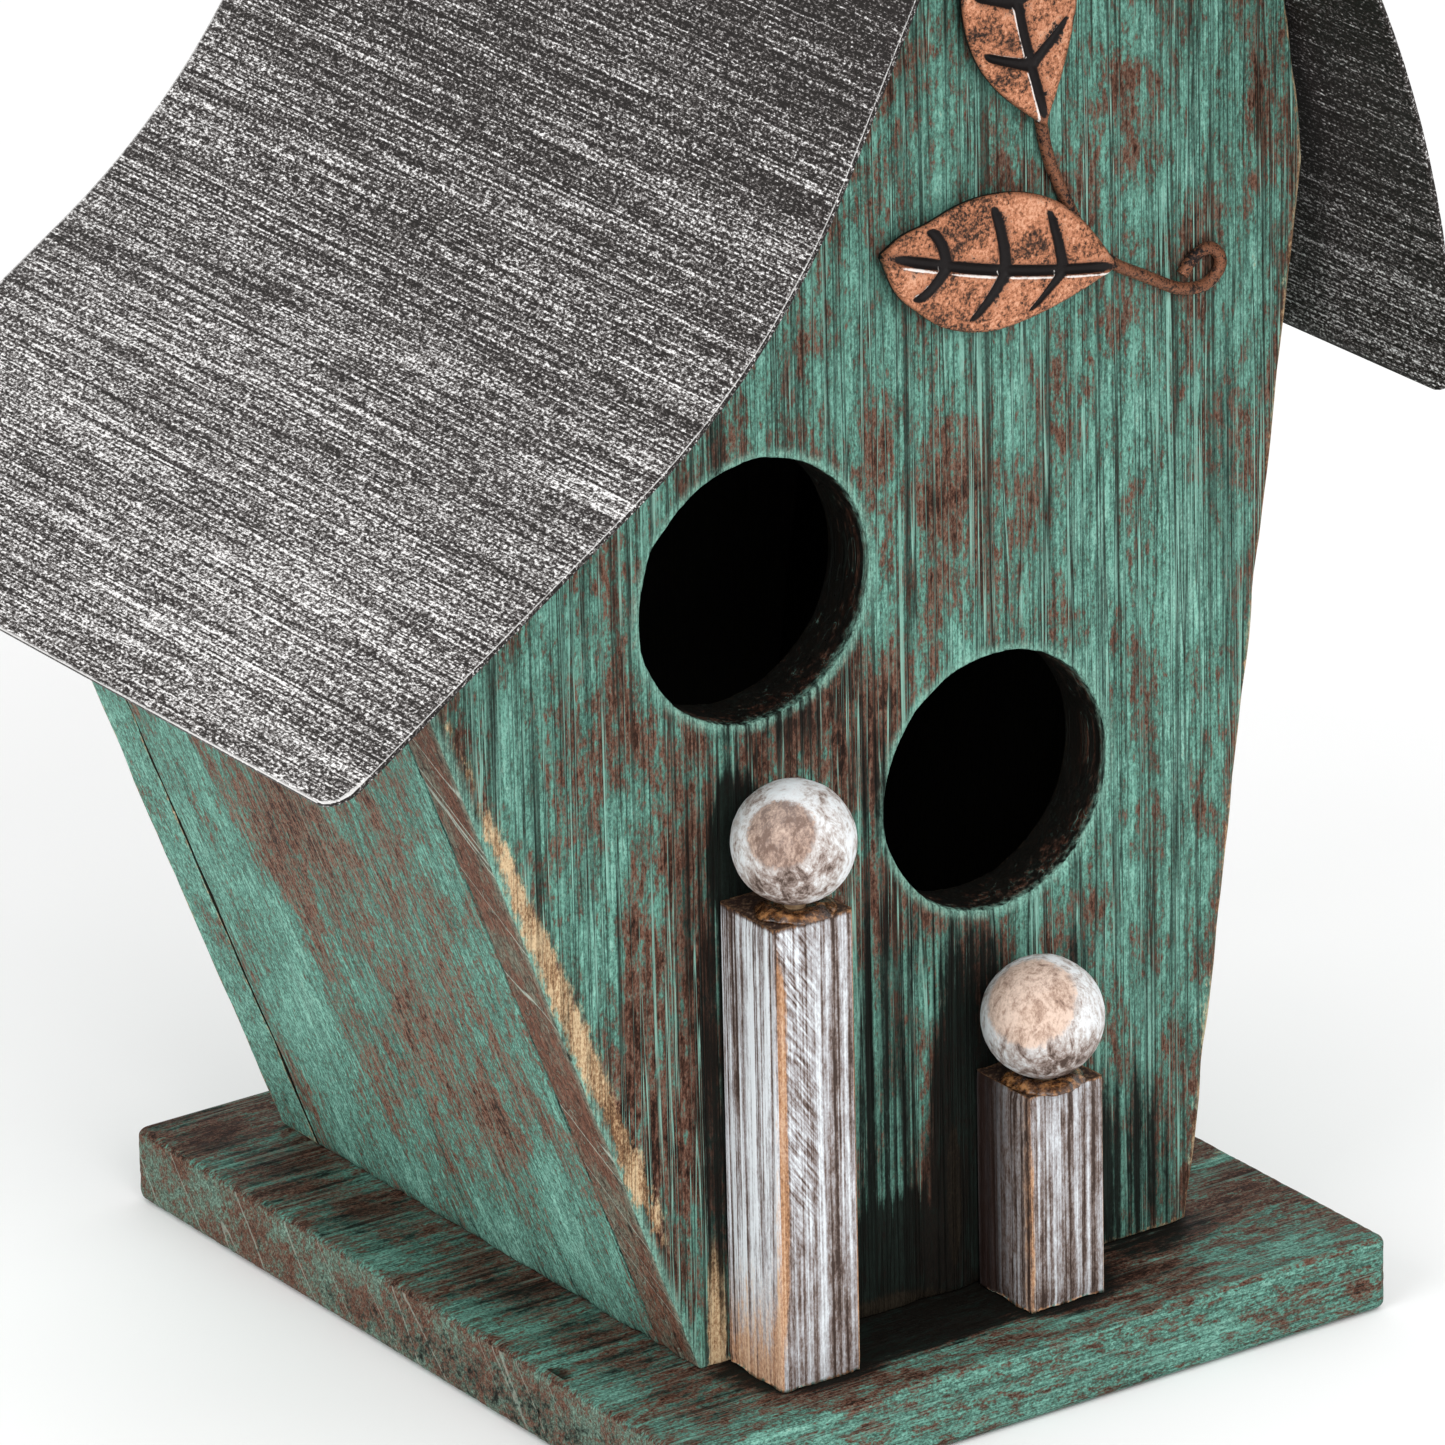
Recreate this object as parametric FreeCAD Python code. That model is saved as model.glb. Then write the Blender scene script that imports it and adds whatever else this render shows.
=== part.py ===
"""Crooked wooden birdhouse with a bent sheet-metal roof.

Millimetres. The origin is the middle of the base plate's underside.
+Z is up, the front with the two entrance holes faces -Y, and +X is to the right seen from the front.
The house leans: its left wall tilts out a lot, its right wall only a little, and the roof is
flared on the left and bulges on the right.
"""
import FreeCAD, Part
from collections import namedtuple
import math
import os

# ---- base plate: a narrow front plank and a wide rear plank, edge glued ----
base_width = 122.4
base_depth = 142.4
base_thick = 11.2
front_plank_depth = 36.3
base_edge_round = 1.3
base_corner_round = 2.2

# ---- house body ----
wall_thick = 10.0
side_thick = 9.5
front_y = -49.0
back_y = 59.0
foot_left_x = -43.1
foot_right_x = 41.7
left_lean = 0.385             # outward run of the left wall for each millimetre of height
right_lean = 0.1362
right_corner_z = 167.4        # where the right wall ends and the gable turns in
right_bevel_rise = 8.0
gable_joins_roof_z = 193.5    # where the gable's right edge meets the roof again
gable_bulge = 0.5             # how far the gable's right edge bows out between those two

# ---- roof: the underside's section, drawn from the left eave over the ridge to the right eave ----
sheet_thick = 0.7
roof_front_y = -72.8
roof_back_y = 71.8
left_eave_x = -114.8
left_eave_z = 120.4
left_flare_deg = 33.1         # slope of the flared strip along the left eave
left_flare_run = 58.5
left_bend_radius = 104.3
left_steep_deg = 62.3         # slope of the left side up to the ridge
right_steep_deg = 60.0        # slope of the right side down from the ridge
right_bend_radius = 165.3
right_bend_centre_x = -94.1
right_bend_centre_z = 132.9
right_eave_z = 136.8
eave_corner_round = 5.0
cap_leg = 10.0
cap_thick = 0.8
cap_nail_share = 0.7          # how far down the cap's leg its nails sit
cap_nail_stagger = 2.4        # keeps the two nails of one gable from meeting
ridge_beam_height = 22.0
ridge_beam_gap = 0.1

# ---- entrance holes ----
hole_radius = 19.0
upper_hole = (-31.1, 124.9)
lower_hole = (9.1, 87.1)

# ---- posts and balls ----
Post = namedtuple("Post", "x width height ball_shift ball_lift")
tall = Post(x=-31.65, width=13.4, height=69.8, ball_shift=0.0, ball_lift=1.28)
short = Post(x=11.1, width=13.0, height=33.4, ball_shift=-1.0, ball_lift=0.7)
post_gap = 0.05               # glue line between a post and the front panel
post_edge_round = 0.6
ball_radius = 8.85
ball_gap = 0.1                # between a ball and the front panel
bead_base_radius = 4.5
bead_neck_radius = 4.4
bead_rise = 1.1               # how far the glue climbs the ball

# ---- hidden fasteners ----
pin_radius = 1.5
pin_in_post = 7.0
pin_in_ball = 6.0
screw_radius = 1.6
screw_head_radius = 3.4
screw_head_depth = 2.2
screw_sink = 0.4              # head below the base's underside
screw_recess_width = 0.9
screw_recess_depth = 0.8
screw_length = 30.0
post_screw_length = 26.0
left_screw_inset = 6.5        # from the outside of the wall's foot
right_screw_inset = 5.5
front_screw_inset = 28.0      # from the front panel's face
back_screw_inset = 22.0
brad_radius = 0.8
left_brad_inset = 5.2
right_brad_inset = 4.8
left_brad_heights = (18, 62, 106)
right_brad_heights = (18, 78, 138)
brad_cover = 1.5              # wood left over a brad's sunk head
brad_length = 28.0
nail_head_radius = 1.7
nail_head_thick = 0.5
nail_radius = 0.6
nail_length = 9.0

# ---- clean-out cover on the back ----
opening_half_width = 19.0
opening_low_z = 28.0
opening_high_z = 60.0
cover_half_width = 26.0
cover_low_z = 20.0
cover_high_z = 77.0
cover_thick = 4.0
cover_gap = 0.2
cover_corner_round = 5.0
cover_pivot_z = 70.0
keeper_z = 24.5
cover_x = -1.0
pivot_shank_radius = 1.5
pivot_bore_radius = 1.56
keeper_slot_half = 2.0
cover_head_radius = 3.6
cover_head_thick = 1.8
cover_head_dome_radius = 4.7
cover_head_slot_width = 0.8
cover_head_slot_depth = 0.7
cover_screw_depth = 8.5       # how far the two screws go into the back panel

# ---- copper vine on the gable ----
leaf_thick = 1.6
leaf_back_y = front_y - 2.0
leaf_length = 41.4
vein_depth = 0.5
vein_width = 0.9
vein_taper = 0.4              # width left at a vein's outer end
side_vein_starts = (0.22, 0.45, 0.68)
side_vein_run = 0.13          # along the leaf, as shares of its length
side_vein_reach = 0.62        # across it, as a share of its half width
wire_radius = 0.9
wire_y = front_y - 0.05 - wire_radius
Leaf = namedtuple("Leaf", "base_x base_z angle half_width")
lower = Leaf(base_x=29.1, base_z=159.8, angle=166.0, half_width=10.3)
upper = Leaf(base_x=16.9, base_z=182.6, angle=101.0, half_width=9.4)
ornament_pin_radius = 0.6
ornament_pin_depth = 5.0
ornament_pin_spots = (0.3, 0.75)
through = 1.0                 # how far a cutting shape runs past the face that it cuts

# ---- hanging eye on the ridge ----
eye_y = 0.0
eye_ring_radius = 5.3
eye_wire_radius = 1.3
eye_shank_radius = 1.4
eye_shank_depth = 19.0
eye_clearance = 0.5           # between the ring and the ridge cap


def at(x, z, y=0.0):
    return FreeCAD.Vector(x, y, z)


def slope(degrees):
    """Unit vector in the XZ plane, rising at this many degrees."""
    return at(math.cos(math.radians(degrees)), math.sin(math.radians(degrees)))


def on_circle(centre, radius, degrees):
    return centre + slope(degrees) * radius


def line(a, b):
    return Part.LineSegment(a, b).toShape()


def arc(a, middle, b):
    return Part.Arc(a, middle, b).toShape()


def prism(edges, y_low, y_high):
    """Closed outline in the XZ plane, pulled out along Y."""
    face = Part.Face(Part.Wire(edges))
    face.translate(FreeCAD.Vector(0, y_low, 0))
    return face.extrude(FreeCAD.Vector(0, y_high - y_low, 0))


def polygon(points):
    return [line(a, b) for a, b in zip(points, points[1:] + points[:1])]


def box(low, high):
    size = high - low
    return Part.makeBox(size.x, size.y, size.z, low)


def rod(start, direction, radius, length):
    return Part.makeCylinder(radius, length, start, direction)


def meet(p, d, q, e):
    """Point where two lines in the XZ plane cross."""
    cross = d.x * e.z - d.z * e.x
    t = ((q.x - p.x) * e.z - (q.z - p.z) * e.x) / cross
    return p + d * t


# ---------------------------------------------------------------- roof section
left_eave = at(left_eave_x, left_eave_z)
left_flare_end = left_eave + slope(left_flare_deg) * left_flare_run
left_bend_centre = left_flare_end + slope(left_flare_deg + 90) * left_bend_radius
left_bend_end = on_circle(left_bend_centre, left_bend_radius, left_steep_deg - 90)
right_bend_centre = at(right_bend_centre_x, right_bend_centre_z)
right_bend_start = on_circle(right_bend_centre, right_bend_radius, 90 - right_steep_deg)
ridge = meet(left_bend_end, slope(left_steep_deg), right_bend_start, slope(180 - right_steep_deg))
right_eave_deg = math.degrees(math.asin((right_eave_z - right_bend_centre_z) / right_bend_radius))


def left_curve(offset, degrees):
    """Point on the left bend; a positive offset lies outside the roof."""
    return on_circle(left_bend_centre, left_bend_radius - offset, degrees - 90)


def right_curve(offset, degrees):
    """Point on the right bend, by the angle from its centre."""
    return on_circle(right_bend_centre, right_bend_radius + offset, degrees)


def ridge_point(offset):
    """Ridge corner of a skin that lies this far outside the underside."""
    half_angle = math.radians(90 - (left_steep_deg + right_steep_deg) / 2.0)
    bisector = slope(90 + (left_steep_deg - right_steep_deg) / 2.0)
    return ridge + bisector * (offset / math.sin(half_angle))


def left_roof_sheet():
    outward = slope(left_flare_deg + 90) * sheet_thick
    middle = (left_flare_deg + left_steep_deg) / 2.0
    edges = [
        line(left_eave, left_flare_end),
        arc(left_flare_end, left_curve(0, middle), left_bend_end),
        line(left_bend_end, ridge),
        line(ridge, ridge_point(sheet_thick)),
        line(ridge_point(sheet_thick), left_curve(sheet_thick, left_steep_deg)),
        arc(left_curve(sheet_thick, left_steep_deg), left_curve(sheet_thick, middle),
            left_flare_end + outward),
        line(left_flare_end + outward, left_eave + outward),
        line(left_eave + outward, left_eave),
    ]
    sheet = prism(edges, roof_front_y, roof_back_y)
    return round_eave_corners(sheet, left_eave, slope(left_flare_deg))


def right_roof_sheet():
    start = 90 - right_steep_deg
    middle = (start + right_eave_deg) / 2.0
    eave = right_curve(0, right_eave_deg)
    eave_out = right_curve(sheet_thick, right_eave_deg)
    edges = [
        line(ridge, right_bend_start),
        arc(right_bend_start, right_curve(0, middle), eave),
        line(eave, eave_out),
        arc(eave_out, right_curve(sheet_thick, middle), right_curve(sheet_thick, start)),
        line(right_curve(sheet_thick, start), ridge_point(sheet_thick)),
        line(ridge_point(sheet_thick), ridge),
    ]
    sheet = prism(edges, roof_front_y, roof_back_y)
    return round_eave_corners(sheet, eave, slope(right_eave_deg + 90))


def round_eave_corners(sheet, eave, up_the_sheet):
    """Cut the two square eave corners of a sheet to a radius."""
    for y, inward in ((roof_front_y, 1), (roof_back_y, -1)):
        corner = FreeCAD.Vector(eave.x, y, eave.z)
        across = FreeCAD.Vector(0, inward, 0)
        start = corner + up_the_sheet * eave_corner_round
        end = corner + across * eave_corner_round
        centre = corner + (up_the_sheet + across) * eave_corner_round
        middle = centre - (up_the_sheet + across) * (eave_corner_round / math.sqrt(2))
        face = Part.Face(Part.Wire([line(corner, start), arc(start, middle, end), line(end, corner)]))
        reach = up_the_sheet.cross(across) * (sheet_thick + through)
        face.translate(reach * -1)
        sheet = sheet.cut(face.extrude(reach * 2))
    return sheet


def ridge_cap():
    """Folded strip over the joint of the two sheets."""
    down_left = slope(left_steep_deg) * -cap_leg
    down_right = slope(-right_steep_deg) * cap_leg
    inner = ridge_point(sheet_thick)
    outer = ridge_point(sheet_thick + cap_thick)
    left_out = slope(left_steep_deg + 90) * cap_thick
    right_out = slope(90 - right_steep_deg) * cap_thick
    points = [inner, inner + down_left, inner + down_left + left_out, outer,
              inner + down_right + right_out, inner + down_right]
    cap = prism(polygon(points), roof_front_y, roof_back_y)
    return cap.cut(eye_shank())


def ridge_beam():
    """Wooden strip under the ridge that takes the hanging eye's thread."""
    low = ridge.z - ridge_beam_height
    left = ridge.x - ridge_beam_height / math.tan(math.radians(left_steep_deg))
    right = ridge.x + ridge_beam_height / math.tan(math.radians(right_steep_deg))
    beam = prism(polygon([at(left, low), at(right, low), at(ridge.x, ridge.z)]),
                 front_y + wall_thick + ridge_beam_gap, back_y - wall_thick - ridge_beam_gap)
    return beam.cut(eye_shank())


def ridge_nail_places():
    """Foot point and inward direction of each nail that holds the ridge cap."""
    places = []
    for y in (front_y + wall_thick / 2, back_y - wall_thick / 2):
        top = ridge_point(sheet_thick + cap_thick)
        left = top - slope(left_steep_deg) * (cap_leg * cap_nail_share)
        right = top + slope(-right_steep_deg) * (cap_leg * cap_nail_share)
        places.append((at(left.x, left.z, y), slope(left_steep_deg - 90)))
        places.append((at(right.x, right.z, y + cap_nail_stagger), slope(-right_steep_deg - 90)))
    return places


def ridge_cap_nails():
    nails = []
    for foot, inward in ridge_nail_places():
        head = rod(foot - inward * nail_head_thick, inward, nail_head_radius, nail_head_thick)
        nails.append(head.fuse(rod(foot, inward, nail_radius, nail_length)).removeSplitter())
    return Part.makeCompound(nails)


def cut_ridge_nails(shape):
    for foot, inward in ridge_nail_places():
        shape = shape.cut(rod(foot, inward, nail_radius, nail_length))
    return shape


# ---------------------------------------------------------------- hanging eye
def eye_shank_top():
    """Where the ring starts, just clear of the ridge cap."""
    return at(ridge.x, ridge_point(sheet_thick + cap_thick).z + eye_clearance + eye_wire_radius, eye_y)


def eye_shank():
    return rod(eye_shank_top(), at(0, -1), eye_shank_radius, eye_shank_depth)


def hanging_eye():
    ring_centre = eye_shank_top() + at(0, eye_ring_radius)
    ring = Part.makeTorus(eye_ring_radius, eye_wire_radius, ring_centre, FreeCAD.Vector(0, 1, 0))
    return ring.fuse(eye_shank())


# ---------------------------------------------------------------- base
def base_plank(y_low, y_high, outer_y):
    """One plank; outer_y is the end of it that shows, where its corners are rounded."""
    half = base_width / 2
    plank = box(FreeCAD.Vector(-half, y_low, 0), FreeCAD.Vector(half, y_high, base_thick))
    upright = [e for e in plank.Edges if abs(e.Vertexes[0].Y - outer_y) < 0.01
               and abs(e.Vertexes[1].Y - outer_y) < 0.01
               and abs(e.Vertexes[0].X - e.Vertexes[1].X) < 0.01]
    plank = plank.makeFillet(base_corner_round, upright)
    joint_y = y_low if outer_y == y_high else y_high
    rims = [e for e in plank.Edges if abs(e.BoundBox.ZLength) < 0.01
            and not (abs(e.BoundBox.YMin - joint_y) < 0.01 and e.BoundBox.YLength < 0.01)]
    return plank.makeFillet(base_edge_round, rims)


def base_screw_places():
    """Two screws up into each side wall's foot."""
    places = []
    for x in (foot_left_x + left_screw_inset, foot_right_x - right_screw_inset):
        for y in (front_y + front_screw_inset, back_y - back_screw_inset):
            places.append((x, y))
    return places


def post_screw_places():
    return [(p.x, front_y - post_gap - p.width / 2) for p in (tall, short)]


def wood_screw(x, y, length):
    """Countersunk screw with its head just inside the base's underside."""
    start = FreeCAD.Vector(x, y, screw_sink)
    head = Part.makeCone(screw_head_radius, screw_radius, screw_head_depth, start)
    long_half = FreeCAD.Vector(screw_head_radius * 0.6, 0, 0)
    short_half = FreeCAD.Vector(0, screw_recess_width / 2, 0)
    rise = FreeCAD.Vector(0, 0, screw_recess_depth)
    recess = box(start - long_half - short_half, start + long_half + short_half + rise)
    crossed = recess.copy()
    crossed.rotate(start, FreeCAD.Vector(0, 0, 1), 90)
    shank = Part.makeCylinder(screw_radius, length - screw_sink, start)
    return head.fuse(shank).cut(recess.fuse(crossed)).removeSplitter()


def screw_hole(x, y, length):
    """Hole that a wood screw fills, open at the base's underside."""
    start = FreeCAD.Vector(x, y, screw_sink)
    mouth = Part.makeCylinder(screw_head_radius, screw_sink, FreeCAD.Vector(x, y, 0))
    head = Part.makeCone(screw_head_radius, screw_radius, screw_head_depth, start)
    shank = Part.makeCylinder(screw_radius, length - screw_sink, start)
    return mouth.fuse(head).fuse(shank)


def cut_base_screws(shape):
    for x, y in base_screw_places():
        shape = shape.cut(screw_hole(x, y, screw_length))
    for x, y in post_screw_places():
        shape = shape.cut(screw_hole(x, y, post_screw_length))
    return shape


def base_screws():
    return Part.makeCompound([wood_screw(x, y, screw_length) for x, y in base_screw_places()])


def post_screws():
    return Part.makeCompound([wood_screw(x, y, post_screw_length) for x, y in post_screw_places()])


# ---------------------------------------------------------------- walls
def left_wall_line():
    return at(foot_left_x, base_thick), at(-left_lean, 1)


def right_wall_line():
    return at(foot_right_x, base_thick), at(right_lean, 1)


def gable_outline():
    """Front and back panels: leaning sides, and a top that follows the roof's underside."""
    foot_left, up_left = left_wall_line()
    foot_right, up_right = right_wall_line()
    left_shoulder = meet(foot_left, up_left, left_eave, slope(left_flare_deg))
    right_shoulder = foot_right + up_right * (right_corner_z - base_thick)
    join_deg = math.degrees(math.asin((gable_joins_roof_z - right_bend_centre_z) / right_bend_radius))
    join = right_curve(0, join_deg)
    bulge = (join + right_shoulder) * 0.5 + slope(0) * gable_bulge
    middle_left = (left_flare_deg + left_steep_deg) / 2.0
    middle_right = (90 - right_steep_deg + join_deg) / 2.0
    return [
        line(foot_left, left_shoulder),
        line(left_shoulder, left_flare_end),
        arc(left_flare_end, left_curve(0, middle_left), left_bend_end),
        line(left_bend_end, ridge),
        line(ridge, right_bend_start),
        arc(right_bend_start, right_curve(0, middle_right), join),
        arc(join, bulge, right_shoulder),
        line(right_shoulder, foot_right),
        line(foot_right, foot_left),
    ]


def front_panel():
    panel = prism(gable_outline(), front_y, front_y + wall_thick)
    for x, z in (upper_hole, lower_hole):
        panel = panel.cut(rod(at(x, z, front_y - through), FreeCAD.Vector(0, 1, 0), hole_radius,
                              wall_thick + 2 * through))
    panel = cut_ridge_nails(panel)
    for brad in brads(front_y + brad_cover, 1):
        panel = panel.cut(brad)
    for pin in ornament_pin_rods():
        panel = panel.cut(pin)
    return panel


def back_panel():
    panel = prism(gable_outline(), back_y - wall_thick, back_y)
    panel = panel.cut(box(at(cover_x - opening_half_width, opening_low_z, back_y - wall_thick - through),
                          at(cover_x + opening_half_width, opening_high_z, back_y + through)))
    panel = cut_ridge_nails(panel)
    for brad in brads(back_y - brad_cover, -1):
        panel = panel.cut(brad)
    for z in (cover_pivot_z, keeper_z):
        panel = panel.cut(rod(at(cover_x, z, back_y - cover_screw_depth), FreeCAD.Vector(0, 1, 0),
                              pivot_shank_radius, cover_screw_depth + through))
    return panel


def left_side_panel():
    foot, up = left_wall_line()
    inner_foot = foot + slope(0) * (side_thick * math.hypot(1, left_lean))
    outer_top = meet(foot, up, left_eave, slope(left_flare_deg))
    inner_top = meet(inner_foot, up, left_eave, slope(left_flare_deg))
    panel = prism(polygon([foot, outer_top, inner_top, inner_foot]),
                  front_y + wall_thick, back_y - wall_thick)
    return cut_side_fasteners(panel)


def right_side_panel():
    foot, up = right_wall_line()
    inner_foot = foot - slope(0) * (side_thick * math.hypot(1, right_lean))
    outer_top = foot + up * (right_corner_z - base_thick)
    inner_top = inner_foot + up * (right_corner_z + right_bevel_rise - base_thick)
    panel = prism(polygon([foot, inner_foot, inner_top, outer_top]),
                  front_y + wall_thick, back_y - wall_thick)
    return cut_side_fasteners(panel)


def cut_side_fasteners(panel):
    for brad in brads(front_y + brad_cover, 1) + brads(back_y - brad_cover, -1):
        panel = panel.cut(brad)
    for x, y in base_screw_places():
        panel = panel.cut(screw_hole(x, y, screw_length))
    return panel


def brads(start_y, inward):
    """Headless brads through a gable panel into the two side walls' edges."""
    rods = []
    for (foot, up), inset, heights in ((left_wall_line(), left_brad_inset, left_brad_heights),
                                       (right_wall_line(), -right_brad_inset, right_brad_heights)):
        for height in heights:
            place = foot + up * height + slope(0) * inset
            rods.append(rod(at(place.x, place.z, start_y), FreeCAD.Vector(0, inward, 0),
                            brad_radius, brad_length))
    return rods


# ---------------------------------------------------------------- posts and balls
def post_block(p):
    """Square post glued against the front panel."""
    y_high = front_y - post_gap
    block = box(at(p.x - p.width / 2, base_thick, y_high - p.width),
                at(p.x + p.width / 2, base_thick + p.height, y_high))
    upright = [e for e in block.Edges if e.BoundBox.ZLength > p.height - 0.01]
    block = block.makeFillet(post_edge_round, upright).cut(ball_dowel(p))
    return block.cut(screw_hole(p.x, y_high - p.width / 2, post_screw_length))


def ball_centre(p):
    """The ball stands a little proud of its post, and almost touches the front panel."""
    return at(p.x + p.ball_shift, base_thick + p.height + p.ball_lift + ball_radius,
              front_y - ball_gap - ball_radius)


def ball_dowel(p):
    """Dowel from the post up into the ball."""
    centre = ball_centre(p)
    bottom = base_thick + p.height - pin_in_post
    top = centre.z - ball_radius + pin_in_ball
    return Part.makeCylinder(pin_radius, top - bottom, at(centre.x, bottom, centre.y))


def ball(p):
    return Part.makeSphere(ball_radius, ball_centre(p)).cut(ball_dowel(p))


def glue_bead(p):
    """Squeezed-out glue that fills the gap between the ball and the post's top."""
    centre = ball_centre(p)
    bead = Part.makeCone(bead_base_radius, bead_neck_radius, p.ball_lift + bead_rise,
                         at(centre.x, base_thick + p.height, centre.y))
    return bead.cut(Part.makeSphere(ball_radius, centre)).cut(ball_dowel(p))


# ---------------------------------------------------------------- clean-out cover
def cleanout_cover():
    """Thin plate that swings sideways on its top screw; its hooked slot leaves the keeper screw."""
    y_low = back_y + cover_gap
    plate = box(at(cover_x - cover_half_width, cover_low_z, y_low),
                at(cover_x + cover_half_width, cover_high_z, y_low + cover_thick))
    corners = [e for e in plate.Edges if e.BoundBox.YLength > cover_thick - 0.01]
    plate = plate.makeFillet(cover_corner_round, corners)
    along_y = FreeCAD.Vector(0, 1, 0)
    cut_depth = cover_thick + 2 * through
    start = at(cover_x, cover_pivot_z, y_low - through)
    plate = plate.cut(rod(start, along_y, pivot_bore_radius, cut_depth))
    reach = cover_pivot_z - keeper_z
    ring = rod(start, along_y, reach + keeper_slot_half, cut_depth)
    ring = ring.cut(rod(start, along_y, reach - keeper_slot_half, cut_depth))
    quarter = box(at(cover_x - 2 * cover_half_width, 0, y_low - through),
                  at(cover_x, cover_pivot_z, y_low + cover_thick + through))
    slot_end = rod(at(cover_x, keeper_z, y_low - through), along_y, keeper_slot_half, cut_depth)
    return plate.cut(ring.common(quarter).fuse(slot_end))


def cover_screw(z):
    """Round-head screw into the back panel, with its head just clear of the cover."""
    along_y = FreeCAD.Vector(0, 1, 0)
    head_y = back_y + cover_gap * 2 + cover_thick
    shank = rod(at(cover_x, z, back_y - cover_screw_depth), along_y, pivot_shank_radius,
                cover_screw_depth + cover_gap * 2 + cover_thick)
    head_top = head_y + cover_head_thick
    dome = Part.makeSphere(cover_head_dome_radius, at(cover_x, z, head_top - cover_head_dome_radius))
    head = rod(at(cover_x, z, head_y), along_y, cover_head_radius, cover_head_thick).common(dome)
    slot = box(at(cover_x - cover_head_radius, z - cover_head_slot_width / 2,
                  head_top - cover_head_slot_depth),
               at(cover_x + cover_head_radius, z + cover_head_slot_width / 2, head_top + through))
    return shank.fuse(head).cut(slot).removeSplitter()


# ---------------------------------------------------------------- copper vine
def leaf(shape):
    """Pressed leaf with a midrib and three pairs of side veins as grooves."""
    along = slope(shape.angle)
    across = slope(shape.angle + 90)
    origin = at(shape.base_x, shape.base_z)

    def spot(u, v):
        return origin + along * (u * leaf_length) + across * (v * shape.half_width)

    stalk = spot(0, 0)
    tip = spot(1, 0)
    edges = [arc(stalk, spot(0.16, 0.72), spot(0.42, 1)), arc(spot(0.42, 1), spot(0.76, 0.66), tip),
             arc(tip, spot(0.76, -0.66), spot(0.42, -1)), arc(spot(0.42, -1), spot(0.16, -0.72), stalk)]
    blade = prism(edges, leaf_back_y - leaf_thick, leaf_back_y)
    blade = blade.cut(groove(spot(0.06, 0), spot(0.94, 0)))
    for u in side_vein_starts:
        for side in (1, -1):
            blade = blade.cut(groove(spot(u, 0), spot(u + side_vein_run, side * side_vein_reach)))
    return blade


def groove(a, b):
    """Shallow straight groove in a leaf's front, narrowing to its far end."""
    direction = (b - a).normalize()
    side = FreeCAD.Vector(-direction.z, 0, direction.x) * (vein_width / 2)
    points = [a + side, b + side * vein_taper, b - side * vein_taper, a - side]
    front = leaf_back_y - leaf_thick
    return prism(polygon(points), front - through, front + vein_depth)


def rounded_path(points):
    """Straight runs joined by tangent arcs as large as the runs allow."""
    edges = []
    start = points[0]
    for a, b, c in zip(points, points[1:], points[2:]):
        into = (a - b).normalize()
        out = (c - b).normalize()
        turn = math.pi - into.getAngle(out)
        reach = 0.45 * min((a - b).Length, (c - b).Length)
        radius = reach / math.tan(turn / 2)
        first = b + into * reach
        last = b + out * reach
        centre = b + (into + out).normalize() * (radius / math.cos(turn / 2))
        middle = centre + (b - centre).normalize() * radius
        edges.append(line(start, first))
        edges.append(arc(first, middle, last))
        start = last
    edges.append(line(start, points[-1]))
    return Part.Wire(edges)


def vine_wire():
    """Stem from the upper leaf, behind the lower leaf, out to the curled tendril."""
    route = [(17.0, 184.5), (18.3, 177.5), (21.4, 170.5), (24.6, 164.0), (29.0, 159.6), (35.0, 156.4),
             (40.8, 153.1), (45.6, 152.7), (48.5, 155.6), (46.4, 158.6), (43.2, 157.6), (41.2, 155.3)]
    path = rounded_path([at(x, z, wire_y) for x, z in route])
    first = path.Edges[0]
    direction = first.tangentAt(first.FirstParameter)
    ring = Part.Wire(Part.makeCircle(wire_radius, path.OrderedVertexes[0].Point, direction))
    return path.makePipeShell([ring], True, True)


def ornament_pin_rods():
    """Pins on the leaves' backs, pushed into the front panel."""
    rods = []
    for shape in (upper, lower):
        for share in ornament_pin_spots:
            place = at(shape.base_x, shape.base_z) + slope(shape.angle) * (share * leaf_length)
            rods.append(rod(at(place.x, place.z, leaf_back_y), FreeCAD.Vector(0, 1, 0),
                            ornament_pin_radius, front_y - leaf_back_y + ornament_pin_depth))
    return rods


# ---------------------------------------------------------------- everything
def build():
    joint_y = -base_depth / 2 + front_plank_depth
    return {
        "base_front_plank": cut_base_screws(base_plank(-base_depth / 2, joint_y, -base_depth / 2)),
        "base_rear_plank": cut_base_screws(base_plank(joint_y, base_depth / 2, base_depth / 2)),
        "base_screws": base_screws(),
        "post_screws": post_screws(),
        "front_panel": front_panel(),
        "back_panel": back_panel(),
        "left_side_panel": left_side_panel(),
        "right_side_panel": right_side_panel(),
        "front_panel_brads": Part.makeCompound(brads(front_y + brad_cover, 1)),
        "back_panel_brads": Part.makeCompound(brads(back_y - brad_cover, -1)),
        "left_roof_sheet": cut_ridge_nails(left_roof_sheet()).cut(eye_shank()),
        "right_roof_sheet": cut_ridge_nails(right_roof_sheet()).cut(eye_shank()),
        "ridge_cap": cut_ridge_nails(ridge_cap()),
        "ridge_cap_nails": ridge_cap_nails(),
        "ridge_beam": ridge_beam(),
        "hanging_eye": hanging_eye(),
        "tall_post": post_block(tall),
        "short_post": post_block(short),
        "tall_post_ball": ball(tall),
        "short_post_ball": ball(short),
        "tall_post_glue_bead": glue_bead(tall),
        "short_post_glue_bead": glue_bead(short),
        "ball_dowels": Part.makeCompound([ball_dowel(tall), ball_dowel(short)]),
        "cleanout_cover": cleanout_cover(),
        "cover_pivot_screw": cover_screw(cover_pivot_z),
        "cover_keeper_screw": cover_screw(keeper_z),
        "upper_leaf": leaf(upper),
        "lower_leaf": leaf(lower),
        "vine_wire": vine_wire(),
        "ornament_pins": Part.makeCompound(ornament_pin_rods()),
    }


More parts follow.
